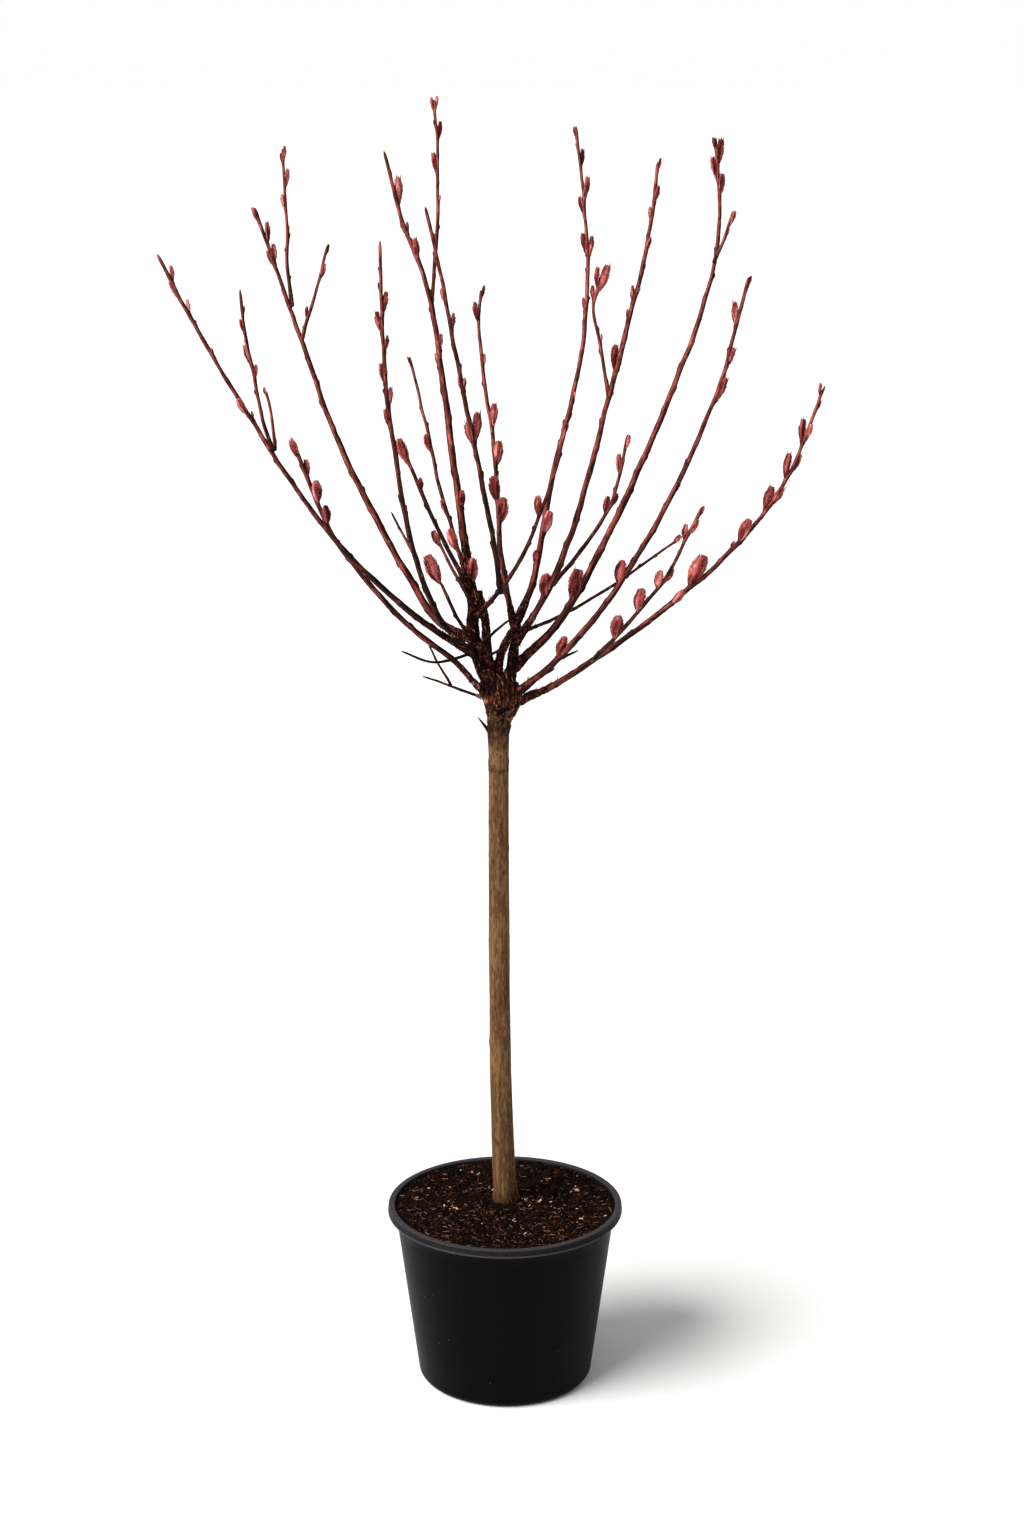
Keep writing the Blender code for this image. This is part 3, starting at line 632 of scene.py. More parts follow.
def scattered(roots, upward, lengths, widths, draw, bend):
    """(points, faces) of one three-sided needle at each root."""
    count = len(roots)
    other = unit(np.cross(upward, draw.normal(size=(count, 3))))
    third = np.cross(upward, other)
    corners = [
        roots + (other * math.cos(turn) + third * math.sin(turn)) * widths[:, None] / 2
        for turn in NEEDLE_CORNERS
    ]
    tip = roots + upward * lengths[:, None] + other * (lengths * bend)[:, None]
    points = np.stack((*corners, tip), axis=1).reshape(-1, 3)
    pattern = np.array(((0, 1, 3), (1, 2, 3), (2, 0, 3), (0, 2, 1)))
    faces = (np.arange(count)[:, None, None] * 4 + pattern).reshape(-1, 3)
    return points, (faces,)


# Finishes


def linear(code):
    """Linear colour of an sRGB hex value such as #7d6242."""
    channels = [int(code[index : index + 2], 16) / 255 for index in (1, 3, 5)]
    return tuple(c / 12.92 if c <= 0.04045 else ((c + 0.055) / 1.055) ** 2.4 for c in channels)


def add_node(tree, kind, values=None, links=None, **settings):
    """Adds a node with its settings, its input values and the sockets that feed it."""
    node = tree.nodes.new(kind)
    for name, value in settings.items():
        setattr(node, name, value)
    for name, value in (values or {}).items():
        node.inputs[name].default_value = value
    for name, socket in (links or {}).items():
        tree.links.new(socket, node.inputs[name])
    return node


def per_metre(size):
    """Scale of a pattern whose marks are this many mm wide."""
    return 1 / (size * MM)


# spread: how much darker its hollows and lighter its crests are than its colour. mark and long_mark: width
# and upright length of one mark, mm. relief: depth of the bump, mm. shader: constants of its shader.
Finish = namedtuple("Finish", "spread mark long_mark relief shader")
FINISHES = {
    # Polypropylene with carbon black, injection moulded: nearly no colour of its own, an even satin skin
    # with a broad soft sheen and a faint orange peel from the mould. Its lip is a lighter grey, with painted
    # highlights on its top face and lower edge. The peel is under 1 mm wide on a real pot, and is drawn
    # coarser to show
    "black_polypropylene": Finish(0.2, 2.5, 6.0, 0.04, {"Specular IOR Level": 0.034, "IOR": 1.49}),
    # Dried specks of peat and water marks on the plastic: dull, pale and very few
    "dried_dust": Finish(0.3, 0.8, 0.8, 0.1, {"Roughness": 0.95, "IOR": 1.4}),
    # Milled peat with fine bark, kept damp: almost black brown crumbs that stay dull
    "damp_peat": Finish(
        0.45, 1.6, 1.6, 0.8, {"Roughness": 0.92, "Specular IOR Level": 0.05, "IOR": 1.4}
    ),
    # Coconut fibre pulled apart: short springy reddish strands with a slight gloss
    "coir_fibre": Finish(0.3, 1.0, 4.0, 0.1, {"Roughness": 0.6, "IOR": 1.45}),
    # Chipped softwood, split along the grain: pale, matt and streaked
    "fresh_wood_chip": Finish(0.22, 0.7, 3.0, 0.2, {"Roughness": 0.85, "IOR": 1.5}),
    # Bark of a young willow stem, never rubbed: thin, smooth and khaki, with faint upright streaks and a
    # low waxy sheen
    "smooth_willow_bark": Finish(
        0.34, 1.3, 7.0, 0.25, {"Roughness": 0.66, "Specular IOR Level": 0.04, "IOR": 1.45}
    ),
    # Old bark of the grafted head, dried and split: dark, dull, and torn into fine upright strands. Its
    # fibres are about 0.3 mm wide, and are drawn coarser to show
    "fibrous_willow_bark": Finish(
        0.6, 1.1, 12.0, 0.5, {"Roughness": 0.78, "Specular IOR Level": 0.04, "IOR": 1.45}
    ),
    # Bark of last summer's shoots: tight, red-brown and lightly waxed, with a faint sheen. The bright line
    # along it is a painted highlight in its tones, with painted shade in its grooves and on its flanks. Its
    # grain is finer than 0.5 mm, and is drawn coarser to show
    "young_shoot_bark": Finish(
        0.3, 0.9, 9.0, 0.12, {"Roughness": 0.5, "Specular IOR Level": 0.06, "IOR": 1.45}
    ),
    # The leathery cap of a willow bud: dark, smooth and glossier than the bark
    "bud_scale": Finish(0.2, 1.5, 4.0, 0.05, {"Roughness": 0.32, "IOR": 1.45}),
    # Silky hair of a catkin, packed close: matt and soft, paler where it is seen edge on. A hair is a few
    # hundredths of a millimetre wide, so the marks are tufts of many hairs, coarse enough to show
    "catkin_silk": Finish(
        0.18, 0.9, 5.0, 0.15,
        {
            "Roughness": 0.85, "Specular IOR Level": 0.1, "IOR": 1.45, "Sheen Weight": 0.12,
            "Sheen Roughness": 0.5, "Sheen Tint": (*linear("#f0b4b4"), 1.0),
        },
    ),
    # Matt painted board, rolled: pale, even and without gloss. Its marks are as coarse as the roller's
    "studio_floor": Finish(0.01, 60.0, 60.0, 0.01, {"Roughness": 0.9, "Specular IOR Level": 0.1}),
}
NOISE_SETTINGS = {"Detail": 4.0, "Roughness": 0.62}
BUMP_STRENGTH = 0.6
# Values of the noise at a finish's darkest shade, its own colour and its lightest shade
HOLLOW = 0.30
MIDDLE = 0.5
CREST = 0.72


def natural_finish(name, kind, colour, roughness=None):
    """A finish of this kind: its linear colour wanders darker and lighter, with a bump of the same marks."""
    spread, mark, long_mark, relief, shader_values = FINISHES[kind]
    material = bpy.data.materials.new(name)
    material.use_nodes = True
    tree = material.node_tree
    shader = tree.nodes["Principled BSDF"]
    place = add_node(tree, "ShaderNodeTexCoord")
    drawn = add_node(
        tree, "ShaderNodeMapping", {"Scale": (1, 1, mark / long_mark)}, {"Vector": place.outputs["Object"]}
    )
    marks = add_node(
        tree, "ShaderNodeTexNoise", {"Scale": per_metre(mark), **NOISE_SETTINGS},
        {"Vector": drawn.outputs["Vector"]},
    )
    shades = add_node(tree, "ShaderNodeValToRGB", links={"Fac": marks.outputs["Fac"]})
    elements = shades.color_ramp.elements
    elements[0].position = HOLLOW
    elements[1].position = CREST
    elements.new(MIDDLE)
    for element, factor in zip(elements, (1 - spread, 1.0, 1 + spread)):
        element.color = (*(channel * factor for channel in colour), 1.0)
    bump = add_node(
        tree, "ShaderNodeBump", {"Strength": BUMP_STRENGTH, "Distance": relief * MM},
        {"Height": marks.outputs["Fac"]},
    )
    tree.links.new(shades.outputs["Color"], shader.inputs["Base Color"])
    tree.links.new(bump.outputs["Normal"], shader.inputs["Normal"])
    for field, value in shader_values.items():
        shader.inputs[field].default_value = value
    if roughness is not None:
        shader.inputs["Roughness"].default_value = roughness
    return material


def series(kind, codes, name=None, roughness=None):
    """One finish of a kind for each colour."""
    name = name or kind
    return [
        natural_finish(f"{name}_{index}", kind, linear(code), roughness)
        for index, code in enumerate(codes, 1)
    ]


# sRGB colours of each series. The tones of bark, silk and the compost's bed run from hollows to crests. Each
# bud, crumb, fibre and chip takes one of its own series, and the lip and the painted highlights on its
# edges have one each.
LIP_AND_HIGHLIGHT_TONES = ("#1a1819", "#383538")
STEM_TONES = ("#22140b", "#3c2818", "#523a24", "#684c30", "#7e6040")
HEAD_TONES = ("#0a0302", "#1d0b07", "#381810", "#5b3224", "#a1705c")
SHOOT_TONES = ("#080303", "#1a0706", "#37150f", "#58251d", "#7c3930", "#a45247")
DEAD_TONES = ("#0d0503", "#241009", "#422217")
SCALE_TONES = ("#2a0e0c", "#4d1c18")
SILK_TONES = ("#2b0908", "#541a18", "#7c2f2c", "#9b4541", "#b65e58", "#d2857e")
PEAT_TONES = ("#0b0503", "#160b06", "#25140c", "#3a2115")
FIBRE_TONES = ("#4a2a1b", "#70462f", "#9b6c52")
CHIP_TONES = ("#c0906f", "#e6c0a2", "#98593d")
DUST_COLOUR = "#77726a"
# Painted light on the shoots and dead twigs: their tones carry a painted highlight along the side that
# faces this way, towards the camera and its left, and along the side opposite, with painted shade on the
# flanks between them
PAINTED_LIGHT_SIDE = np.array((-0.38, -0.89, 0.25))


def length_setting(name, description, default, least=0.0):
    """A length, given in mm."""
    return FloatProperty(
        name=name, description=description, subtype="DISTANCE", default=default * MM, min=least * MM
    )


def share_setting(name, description, default, most=1.0):
    return FloatProperty(
        name=name, description=description, subtype="FACTOR", default=default, min=0, max=most
    )


def colour_setting(name, description, code):
    return FloatVectorProperty(
        name=name, description=description, subtype="COLOR", default=linear(code), min=0, max=1
    )


def count_setting(name, description, default, least=0):
    return IntProperty(name=name, description=description, default=default, min=least)


def light_setting(name, description, default):
    return FloatProperty(name=name, description=description, default=default, min=0)


class PotSettings(bpy.types.PropertyGroup):
    """Nursery pot"""

    wall_colour: colour_setting("Wall colour", "Colour of the plastic", "#040405")
    roughness: share_setting("Roughness", "How dull the plastic is", 0.42)
    steps: count_setting("Steps", "Facets round the pot", 160, 24)
    specks: count_setting("Specks", "Specks of dust on the wall", 26)


class CompostSettings(bpy.types.PropertyGroup):
    """Compost"""

    crumbs: count_setting("Crumbs", "Loose crumbs on the surface", 6500)
    fibres: count_setting("Fibres", "Coir fibres on the surface, before they thin out at the back", 760)
    chips: count_setting("Chips", "Scattered wood chips", 26)
    relief: length_setting("Relief", "Height of the lumps", 1.7)


class BarkSettings(bpy.types.PropertyGroup):
    """Trunk and head"""

    streak: length_setting("Streak", "Width of one streak of the smooth bark", 2.6, 1.0)
    relief: length_setting("Relief", "Depth of the smooth bark's streaks", 0.16)
    strand: length_setting("Strand", "Width of one strand of the head's bark", 1.5, 1.0)
    tear: length_setting("Tear", "Depth of the clefts between strands", 1.0)
    shreds: count_setting("Shreds", "Loose ends of bark on the head", 1500, 1)


class ShootSettings(bpy.types.PropertyGroup):
    """Shoots"""

    node_gap: length_setting("Node gap", "Usual distance from one bud to the next", 26, 5)
    zigzag: length_setting("Zigzag", "How far the shoot steps towards each bud", 0.3)
    groove: share_setting("Groove", "Depth of the grooves as a share of the shoot's radius", 0.17, 0.4)


class CatkinSettings(bpy.types.PropertyGroup):
    """Catkins"""

    plumes: count_setting("Plumes", "Broad tufts on a large catkin", 72)
    hair_gap: length_setting("Hair gap", "Distance from one hair to the next", 1.35, 0.5)
    hair_length: length_setting("Hair length", "Length of a hair on a large catkin", 3.0)
    hair_width: length_setting("Hair width", "Width of a tuft of hairs, coarse enough to show", 0.42, 0.05)


class StageSettings(bpy.types.PropertyGroup):
    """Studio"""

    floor_colour: colour_setting("Floor colour", "Colour of the floor", "#fbfbfa")
    walls: light_setting("Walls", "Light of the white walls", 1.0)
    ceiling: light_setting("Ceiling", "Light of the dimmer ceiling", 0.34)
    key: light_setting("Key light", "Strength of the key light", 4.9)


def wall_radius(height):
    """Outer radius of the pot's wall."""
    return FOOT_RADIUS + WALL_SLOPE * height


def bore_radius(height):
    """Inner radius of the pot where its wall opens into the lip."""
    low = POT_HEIGHT - LIP_DEPTH
    share = (height - low) / LIP_DEPTH
    return (wall_radius(low) - WALL) * (1 - share) + LIP_BORE * share


def rounded(centre, radius, start, end, steps):
    """Points of a round edge in a profile, from start to end degrees."""
    turns = np.radians(np.linspace(start, end, steps + 1))
    return [(centre[0] + radius * math.cos(turn), centre[1] + radius * math.sin(turn)) for turn in turns]


def turned(profile, steps):
    """Rings of a profile of (radius, height) points turned about the pot's axis."""
    profile = np.array(profile)
    rings = profile[:, None, :1] * on_circle(corner_angles(steps))
    heights = np.broadcast_to(profile[:, None, 1:], (len(profile), steps, 1))
    return np.concatenate((rings, heights), axis=2)


class WILLOW_OT_pot(bpy.types.Operator):
    """Turn the nursery pot with its rolled lip and rounded foot"""

    bl_idname = "willow.pot"
    bl_label = "Pot"

    def execute(self, context):
        settings = context.scene.willow_pot
        lip_low = POT_HEIGHT - LIP_DEPTH
        groove = 0.6 * MM
        under = wall_radius(lip_low) + groove
        step = 0.5 * MM
        profile = [(UNDERSIDE, 0.0)]
        profile += rounded((wall_radius(FOOT_EDGE) - FOOT_EDGE, FOOT_EDGE), FOOT_EDGE, -90, 0, 10)
        profile += [(wall_radius(h), h) for h in np.linspace(0.02, lip_low - 2 * MM, 14)]
        profile += rounded((under + groove, lip_low - 1.2 * MM), groove, 180, 90, 3)
        profile += rounded((LIP_RADIUS - LIP_EDGE, lip_low + LIP_EDGE), LIP_EDGE, -90, 0, 5)
        profile += [(LIP_RADIUS, lip_low + 2.6 * MM), (LIP_RADIUS - step, lip_low + 3.1 * MM)]
        profile += rounded((LIP_RADIUS - step - LIP_EDGE, POT_HEIGHT - LIP_EDGE), LIP_EDGE, 0, 90, 5)
        profile += rounded((LIP_BORE + MM, POT_HEIGHT - MM), MM, 90, 180, 4)
        profile += [(wall_radius(h) - WALL, h) for h in np.linspace(lip_low, FLOOR + FOOT_EDGE, 6)]
        profile.append((wall_radius(FLOOR) - WALL - FOOT_EDGE, FLOOR))
        rings = turned(profile, settings.steps)
        height, radius = rings[:-1, :, 2], np.hypot(rings[:-1, :, 0], rings[:-1, :, 1])
        # The lip is a lighter grey than the wall, and its top face and lower edge carry painted highlights
        lip = (height > lip_low - 0.2 * MM) & (radius > LIP_BORE - MM)
        painted_highlight = lip & ((height > POT_HEIGHT - 0.7 * MM) | (abs(height - lip_low - MM) < 0.8 * MM))
        tones = np.where(painted_highlight, 2, np.where(lip, 1, 0)).reshape(-1)
        pile = Pile()
        pile.add(*skin(rings), np.concatenate((tones, np.zeros(2 * settings.steps, int))))
        plastic = "black_polypropylene"
        finishes = [natural_finish(plastic, plastic, settings.wall_colour, settings.roughness)]
        finishes += series(plastic, LIP_AND_HIGHLIGHT_TONES, "polypropylene_lip_and_painted_highlight", settings.roughness)
        pile.piece("pot_shell", finishes, ["pot"])
        self.add_specks(settings)
        return {"FINISHED"}

    def add_specks(self, settings):
        """Flat flakes of dried dust, here and there on the wall."""
        draw = np.random.default_rng(SEED)
        pile = Pile()
        for _ in range(settings.specks):
            angle = draw.uniform(-math.pi, math.pi)
            height = draw.uniform(0.03, 0.185)
            size = draw.uniform(0.35, 0.9) * MM
            outward = np.array((math.sin(angle), -math.cos(angle), 0.0))
            centre = outward * wall_radius(height) + np.array((0.0, 0.0, height))
            add_lump(pile, centre, size * np.array((1.0, 1.0, 0.6)), draw, 0)
        pile.piece("pot_dust", [natural_finish("dried_dust", "dried_dust", linear(DUST_COLOUR))])


def add_lump(pile, centre, size, draw, tone):
    """A small irregular lump: a bent octahedron with its corners pulled about."""
    corners = np.array(((1, 0, 0), (0, 1, 0), (-1, 0, 0), (0, -1, 0), (0, 0, 1), (0, 0, -1)), float)
    corners = corners * draw.uniform(0.6, 1.3, (6, 3)) + draw.uniform(-0.25, 0.25, (6, 3))
    turn = draw.uniform(0, 2 * math.pi)
    spin = np.array(((math.cos(turn), -math.sin(turn), 0), (math.sin(turn), math.cos(turn), 0), (0, 0, 1)))
    faces = np.array(((0, 1, 4), (1, 2, 4), (2, 3, 4), (3, 0, 4), (1, 0, 5), (2, 1, 5), (3, 2, 5), (0, 3, 5)))
    pile.add(centre + (corners * size) @ spin.T, (faces,), tone)


def compost_height(places, relief):
    """Height of the compost's lumpy surface at each (x, y)."""
    distance = np.linalg.norm(places, axis=-1)
    share = np.clip(distance / bore_radius(COMPOST_RIM), 0, 1)
    level = COMPOST_CROWN + (COMPOST_RIM - COMPOST_CROWN) * share**2
    flat = np.concatenate((places, np.zeros_like(places[..., :1])), axis=-1)
    lumps = noise(flat * per_metre(22), 1) * 0.55 + noise(flat * per_metre(7), 2) * 0.45
    lumps += noise(flat * per_metre(3.2), 3) * 0.35 + noise(flat * per_metre(1.6), 4) * 0.16
    mound = 1.8 * MM * bell(distance / (24 * MM))
    return level + lumps * relief + mound - 0.4 * MM


class WILLOW_OT_compost(bpy.types.Operator):
    """Fill the pot with lumpy compost and strew crumbs, coir fibres and wood chips on it"""

    bl_idname = "willow.compost"
    bl_label = "Compost"

    def execute(self, context):
        settings = context.scene.willow_compost
        inner = bore_radius(COMPOST_RIM) - 0.2 * MM
        flat = on_circle(corner_angles(BED_SIDES))
        places = np.linspace(MM, inner, BED_RINGS)[:, None, None] * flat
        top = np.concatenate((places, compost_height(places, settings.relief)[..., None]), axis=-1)
        side = []
        for height in (0.192, 0.12, FLOOR + FOOT_EDGE, FLOOR + 0.5 * MM):
            inset = FOOT_EDGE if height < FLOOR + MM else 0.0
            radius = wall_radius(height) - WALL - 0.4 * MM - inset
            side.append(np.concatenate((flat * radius, np.full((BED_SIDES, 1), height)), axis=1))
        rings = np.concatenate((top, np.array(side)))
        tones = 0.45 + 0.5 * noise(rings * per_metre(4.5), 9)
        pile = Pile()
        pile.add(*skin(rings), face_tones(tones, PEAT_TONES[:3]))
        peat = series("damp_peat", PEAT_TONES)
        pile.piece("compost_bed", peat[:3], ["compost"])
        draw = np.random.default_rng(SEED + 1)
        self.strew_crumbs(settings, draw, peat, inner)
        self.strew_fibres(settings, draw, inner)
        self.strew_chips(settings, draw, inner)
        return {"FINISHED"}

    def places(self, count, draw, inner, clear):
        """Random places on the compost, clear of the stem's foot."""
        distance = np.sqrt(draw.uniform((clear / inner) ** 2, 1.0, count)) * (inner - 2 * MM)
        return distance[:, None] * on_circle(draw.uniform(0, 2 * math.pi, count))

    def strew_crumbs(self, settings, draw, peat, inner):
        """Loose crumbs, most of them small and dark."""
        places = self.places(settings.crumbs, draw, inner, 14 * MM)
        heights = compost_height(places, settings.relief)
        pile = Pile()
        for place, height in zip(places, heights):
            size = draw.uniform(0.5, 1.15) ** 3 * 1.7 * MM * draw.uniform(0.6, 1.4, 3)
            centre = np.array((*place, height + size[2] * 0.2))
            add_lump(pile, centre, size * np.array((1, 1, 0.7)), draw, int(4 * draw.uniform() ** 1.7))
        pile.piece("compost_crumbs", peat)

    def strew_fibres(self, settings, draw, inner):
        """Short curled fibres that lie on the surface, fewer of them towards the back."""
        pile = Pile()
        for place in self.places(settings.fibres, draw, inner, 18 * MM):
            if draw.uniform() < 0.35 + 3.4 * place[1]:
                continue
            length = draw.uniform(3, 9) * MM
            turn = draw.uniform(0, 2 * math.pi)
            curl = draw.uniform(-1.4, 1.4)
            steps = on_circle(turn + curl * np.linspace(0, 1, 7)) * length / 7
            line = place + np.cumsum(steps, axis=0) - steps.sum(axis=0) / 2
            reach = np.linalg.norm(line, axis=1, keepdims=True)
            line *= np.minimum(1.0, (inner - MM) / reach)
            rise = compost_height(line, settings.relief) + draw.uniform(0.2, 1.4) * MM
            centres = np.concatenate((line, rise[:, None]), axis=1)
            radius = draw.uniform(0.15, 0.34) * MM
            outward, _ = around(line_of(centres, None, None), 4)
            pile.add(*skin(centres[:, None] + outward * radius), draw.integers(0, len(FIBRE_TONES)))
        pile.piece("compost_fibres", series("coir_fibre", FIBRE_TONES))

    def strew_chips(self, settings, draw, inner):
        """Chips in the clusters that the photograph shows, and a few scattered ones."""
        places = self.places(settings.chips, draw, inner, 30 * MM)
        sizes = draw.uniform(0.9, 1.6, settings.chips)
        for x, y, count, size in CHIP_CLUSTERS:
            places = np.concatenate((places, np.array((x, y)) * MM + draw.normal(0, 3.2 * MM, (count, 2))))
            sizes = np.concatenate((sizes, size * draw.uniform(0.6, 1.2, count)))
        heights = compost_height(places, settings.relief)
        pile = Pile()
        for place, height, size in zip(places, heights, sizes):
            shape = size * MM * np.array((1.9, draw.uniform(0.5, 0.9), 0.5))
            tone = draw.integers(0, len(CHIP_TONES))
            add_lump(pile, np.array((*place, height + 0.7 * MM)), shape, draw, tone)
        pile.piece("compost_chips", series("fresh_wood_chip", CHIP_TONES))


def trunk_length(height):
    """Distance along the trunk to where it is seen at this height."""
    stem = STEMS["trunk"]
    return float(np.interp(height, [seen for _, seen in stem.seen], stem.lengths))


class WILLOW_OT_trunk(bpy.types.Operator):
    """Clothe the stem in smooth streaked bark, and its head and two arms in torn fibrous bark"""

    bl_idname = "willow.trunk"
    bl_label = "Trunk"

    def execute(self, context):
        settings = context.scene.willow_bark
        pile = Pile()
        self.add_stem(settings, pile)
        self.add_head(settings, pile)
        finishes = series("smooth_willow_bark", STEM_TONES)
        finishes += series("fibrous_willow_bark", HEAD_TONES)
        pile.piece("trunk_bark", finishes, ["trunk"])
        return {"FINISHED"}

    def add_stem(self, settings, pile):
        """The bare stem, from its warty foot to where the head's bark begins."""
        line = sampled(STEMS["trunk"], 0.0, trunk_length(STEM_TOP), STEM_SPACING)
        outward, _ = around(line, 96)
        heights = line.centres[:, 2]
        surface = line.centres[:, None] + outward * line.radii[:, None, None]
        upright = surface * np.array((1, 1, settings.streak / (42 * MM)))
        streaks = noise(upright / settings.streak, 5) * 0.6 + noise(upright * 2.1 / settings.streak, 6) * 0.4
        swell = noise(surface * np.array((25.0, 25.0, 16.0)), 7)
        warts = noise(surface * per_metre(3.5), 8) + 0.5 * noise(surface * per_metre(1.8), 10)
        cracks = noise(surface * np.array((1, 1, 0.22)) * per_metre(1.3), 17)
        foot = bell((heights - heights[0]) / (11 * MM))[:, None]
        scar = bell((heights - RING_SCAR) / (1.6 * MM))[:, None]
        relief = (streaks + 0.7 * cracks) * settings.relief + swell * 0.35 * MM + scar * 0.45 * MM
        relief += foot * (0.9 + 1.1 * warts) * MM
        tone = 0.58 + 0.24 * streaks + 0.20 * cracks + 0.10 * swell - 0.30 * foot - 0.22 * scar
        # Each knot is a raised dark eye with a pit in its middle
        for height, degrees, size in KNOTS:
            turn = math.radians(degrees)
            facing = np.array((math.sin(turn), -math.cos(turn), 0.0))
            row = np.argmin(abs(heights - height * MM))
            centre = line.centres[row] + facing * line.radii[row]
            away = np.linalg.norm((surface - centre) * np.array((1, 1, 0.75)), axis=-1) / (size * MM)
            relief += (bell(away) - 0.75 * bell(away * 2.6)) * MM
            tone -= 0.34 * bell(away * 1.3)
        # Towards the head the stem darkens in patches, and then sinks under the head's torn bark
        mottle = noise(surface * per_metre(3.0), 14) + 0.6 * noise(surface * per_metre(1.5), 15)
        tone -= 0.52 * ramp(heights[:, None] + 11 * MM * mottle, DARK_FROM, 28 * MM)
        relief -= 3.5 * MM * ramp(heights[:, None] + 7 * MM * mottle, DIVE_FROM, 9 * MM)
        pile.add(*skin(surface + outward * relief[..., None]), face_tones(tone, STEM_TONES))

    def add_head(self, settings, pile):
        """The swollen head with its arms: tubes grown into one skin, which is torn along its strands."""
        rough = Pile()
        limbs = ["trunk"] + stems_in("head")
        lines = []
        for name in limbs:
            stem = STEMS[name]
            start = trunk_length(HEAD_BARK[0]) if name == "trunk" else 0.0
            line = sampled(stem, start, stem.lengths[-1], HEAD_SPACING)
            if name == "trunk":
                rise = ramp(line.centres[:, 2], HEAD_BARK[0], HEAD_BARK[1] - HEAD_BARK[0])
                line = line._replace(radii=line.radii + (-1.6 + 1.9 * np.sqrt(rise)) * MM)
            lines.append(line)
            outward, _ = around(line, 24)
            rough.add(*skin(line.centres[:, None] + outward * line.radii[:, None, None]))
        # The thick foot of each shoot that leaves the head or an arm, so that it grows out of the bark
        for name, shoot in SHOOTS.items():
            if shoot.parent in limbs and name not in limbs:
                parent = STEMS[shoot.parent]
                inside = parent.radii[nearest(parent, np.array(shoot.path[0]) * MM)]
                reach = inside + (10 if name.startswith("dead_") else 46) * MM
                end = min(reach, STEMS[name].lengths[-1] * 0.45)
                line = sampled(STEMS[name], 0.0, end, HEAD_SPACING)
                fade = np.linspace(1.5, 0.85, len(line.radii))
                outward, _ = around(line, 12)
                rough.add(*skin(line.centres[:, None] + outward * (line.radii * fade)[:, None, None]))
        points, faces = self.grown_together(rough)
        points, relief = self.torn(points, faces, lines, settings, pile)
        # The head's tones follow its relief, its smooth patches too: painted shade in the clefts and painted
        # highlights on the raised strands
        tone = np.clip(0.37 + 0.92 * relief, 0, 0.99)[faces].mean(axis=1)
        middles = points[faces].mean(axis=1)
        smooth = 0.5 + 0.7 * noise(middles * per_metre(2.0), 19) < ramp(-middles[:, 2], -SMOOTH_TO, 44 * MM)
        levels = len(STEM_TONES) + levels_of(tone, HEAD_TONES)
        pile.add(points, (faces,), np.where(smooth, (0.2 + tone * 3.8).astype(int), levels))

    def grown_together(self, rough):
        """(points, faces) of one smooth skin round the pile's shapes."""
        item = placed("rough_head", mesh_of("rough_head", np.concatenate(rough.points), rough.faces))
        remesh = item.modifiers.new("grow_together", "REMESH")
        remesh.mode = "VOXEL"
        remesh.voxel_size = HEAD_VOXEL
        smooth = item.modifiers.new("soften", "SMOOTH")
        smooth.factor = 0.5
        smooth.iterations = 5
        bpy.context.view_layer.update()
        grown = bpy.data.meshes.new_from_object(item.evaluated_get(bpy.context.evaluated_depsgraph_get()))
        bpy.data.objects.remove(item)
        points = np.empty(len(grown.vertices) * 3)
        grown.vertices.foreach_get("co", points)
        faces = np.array([tuple(face.vertices) for face in grown.polygons])
        bpy.data.meshes.remove(grown)
        return points.reshape(-1, 3), faces

    def torn(self, points, faces, lines, settings, pile):
        """(points, relief) of the skin with clefts cut along the nearest limb's direction."""
        normals = np.zeros_like(points)
        a, b, c, d = (points[faces[:, corner]] for corner in range(4))
        for corner in range(4):
            np.add.at(normals, faces[:, corner], np.cross(c - a, d - b))
        normals = unit(normals)
        centres = np.concatenate([line.centres for line in lines])
        reach = np.concatenate([line.radii for line in lines])
        starts = np.concatenate([line.lengths + index for index, line in enumerate(lines)])
        alongs = np.concatenate([line.along for line in lines])
        owner = np.empty(len(points), int)
        # The limb ring nearest to each point, found for a few thousand points at a time to spare memory
        for first in range(0, len(points), 4000):
            block = points[first : first + 4000]
            gap = np.linalg.norm(block[:, None] - centres, axis=2) - reach
            owner[first : first + 4000] = gap.argmin(axis=1)
        along = alongs[owner]
        flat = points - centres[owner]
        flat -= along * (flat * along).sum(axis=1, keepdims=True)
        combed = flat / settings.strand + along * (starts[owner] / (17 * MM))[:, None]
        # Strands, finer ones in them, broad ridges and lumps low on the head, and fine threads higher up
        strands = noise(combed, 11)
        fine = noise(combed * 2.3, 12)
        ridges = noise(combed * 0.28, 18)
        lumps = noise(points * per_metre(9), 13)
        knobby = ramp(-points[:, 2], -KNOBBY_TO, 30 * MM)
        threads = noise(flat / (0.9 * MM) + along * (starts[owner] / (34 * MM))[:, None], 21)
        relief = 0.6 * strands + 0.3 * fine + (0.25 * lumps + 0.3 * ridges) * knobby
        relief += (0.5 * threads - 0.12) * (1 - knobby)
        depth = np.where(relief > 0, relief * 0.7, relief) * settings.tear
        depth += ridges * np.where(ridges > 0, 0.8, 2.6) * (0.3 + 0.7 * knobby) * settings.tear
        depth += 0.6 * lumps * knobby * settings.tear
        edge = HEAD_BARK[1] - 5 * MM + 9 * MM * noise(points * per_metre(5), 16)
        depth -= 1.2 * MM * ramp(-points[:, 2], -edge, 5 * MM)
        points = points + normals * (depth + 0.25 * MM)[:, None]
        self.add_shreds(settings, pile, points, normals, along)
        return points, relief

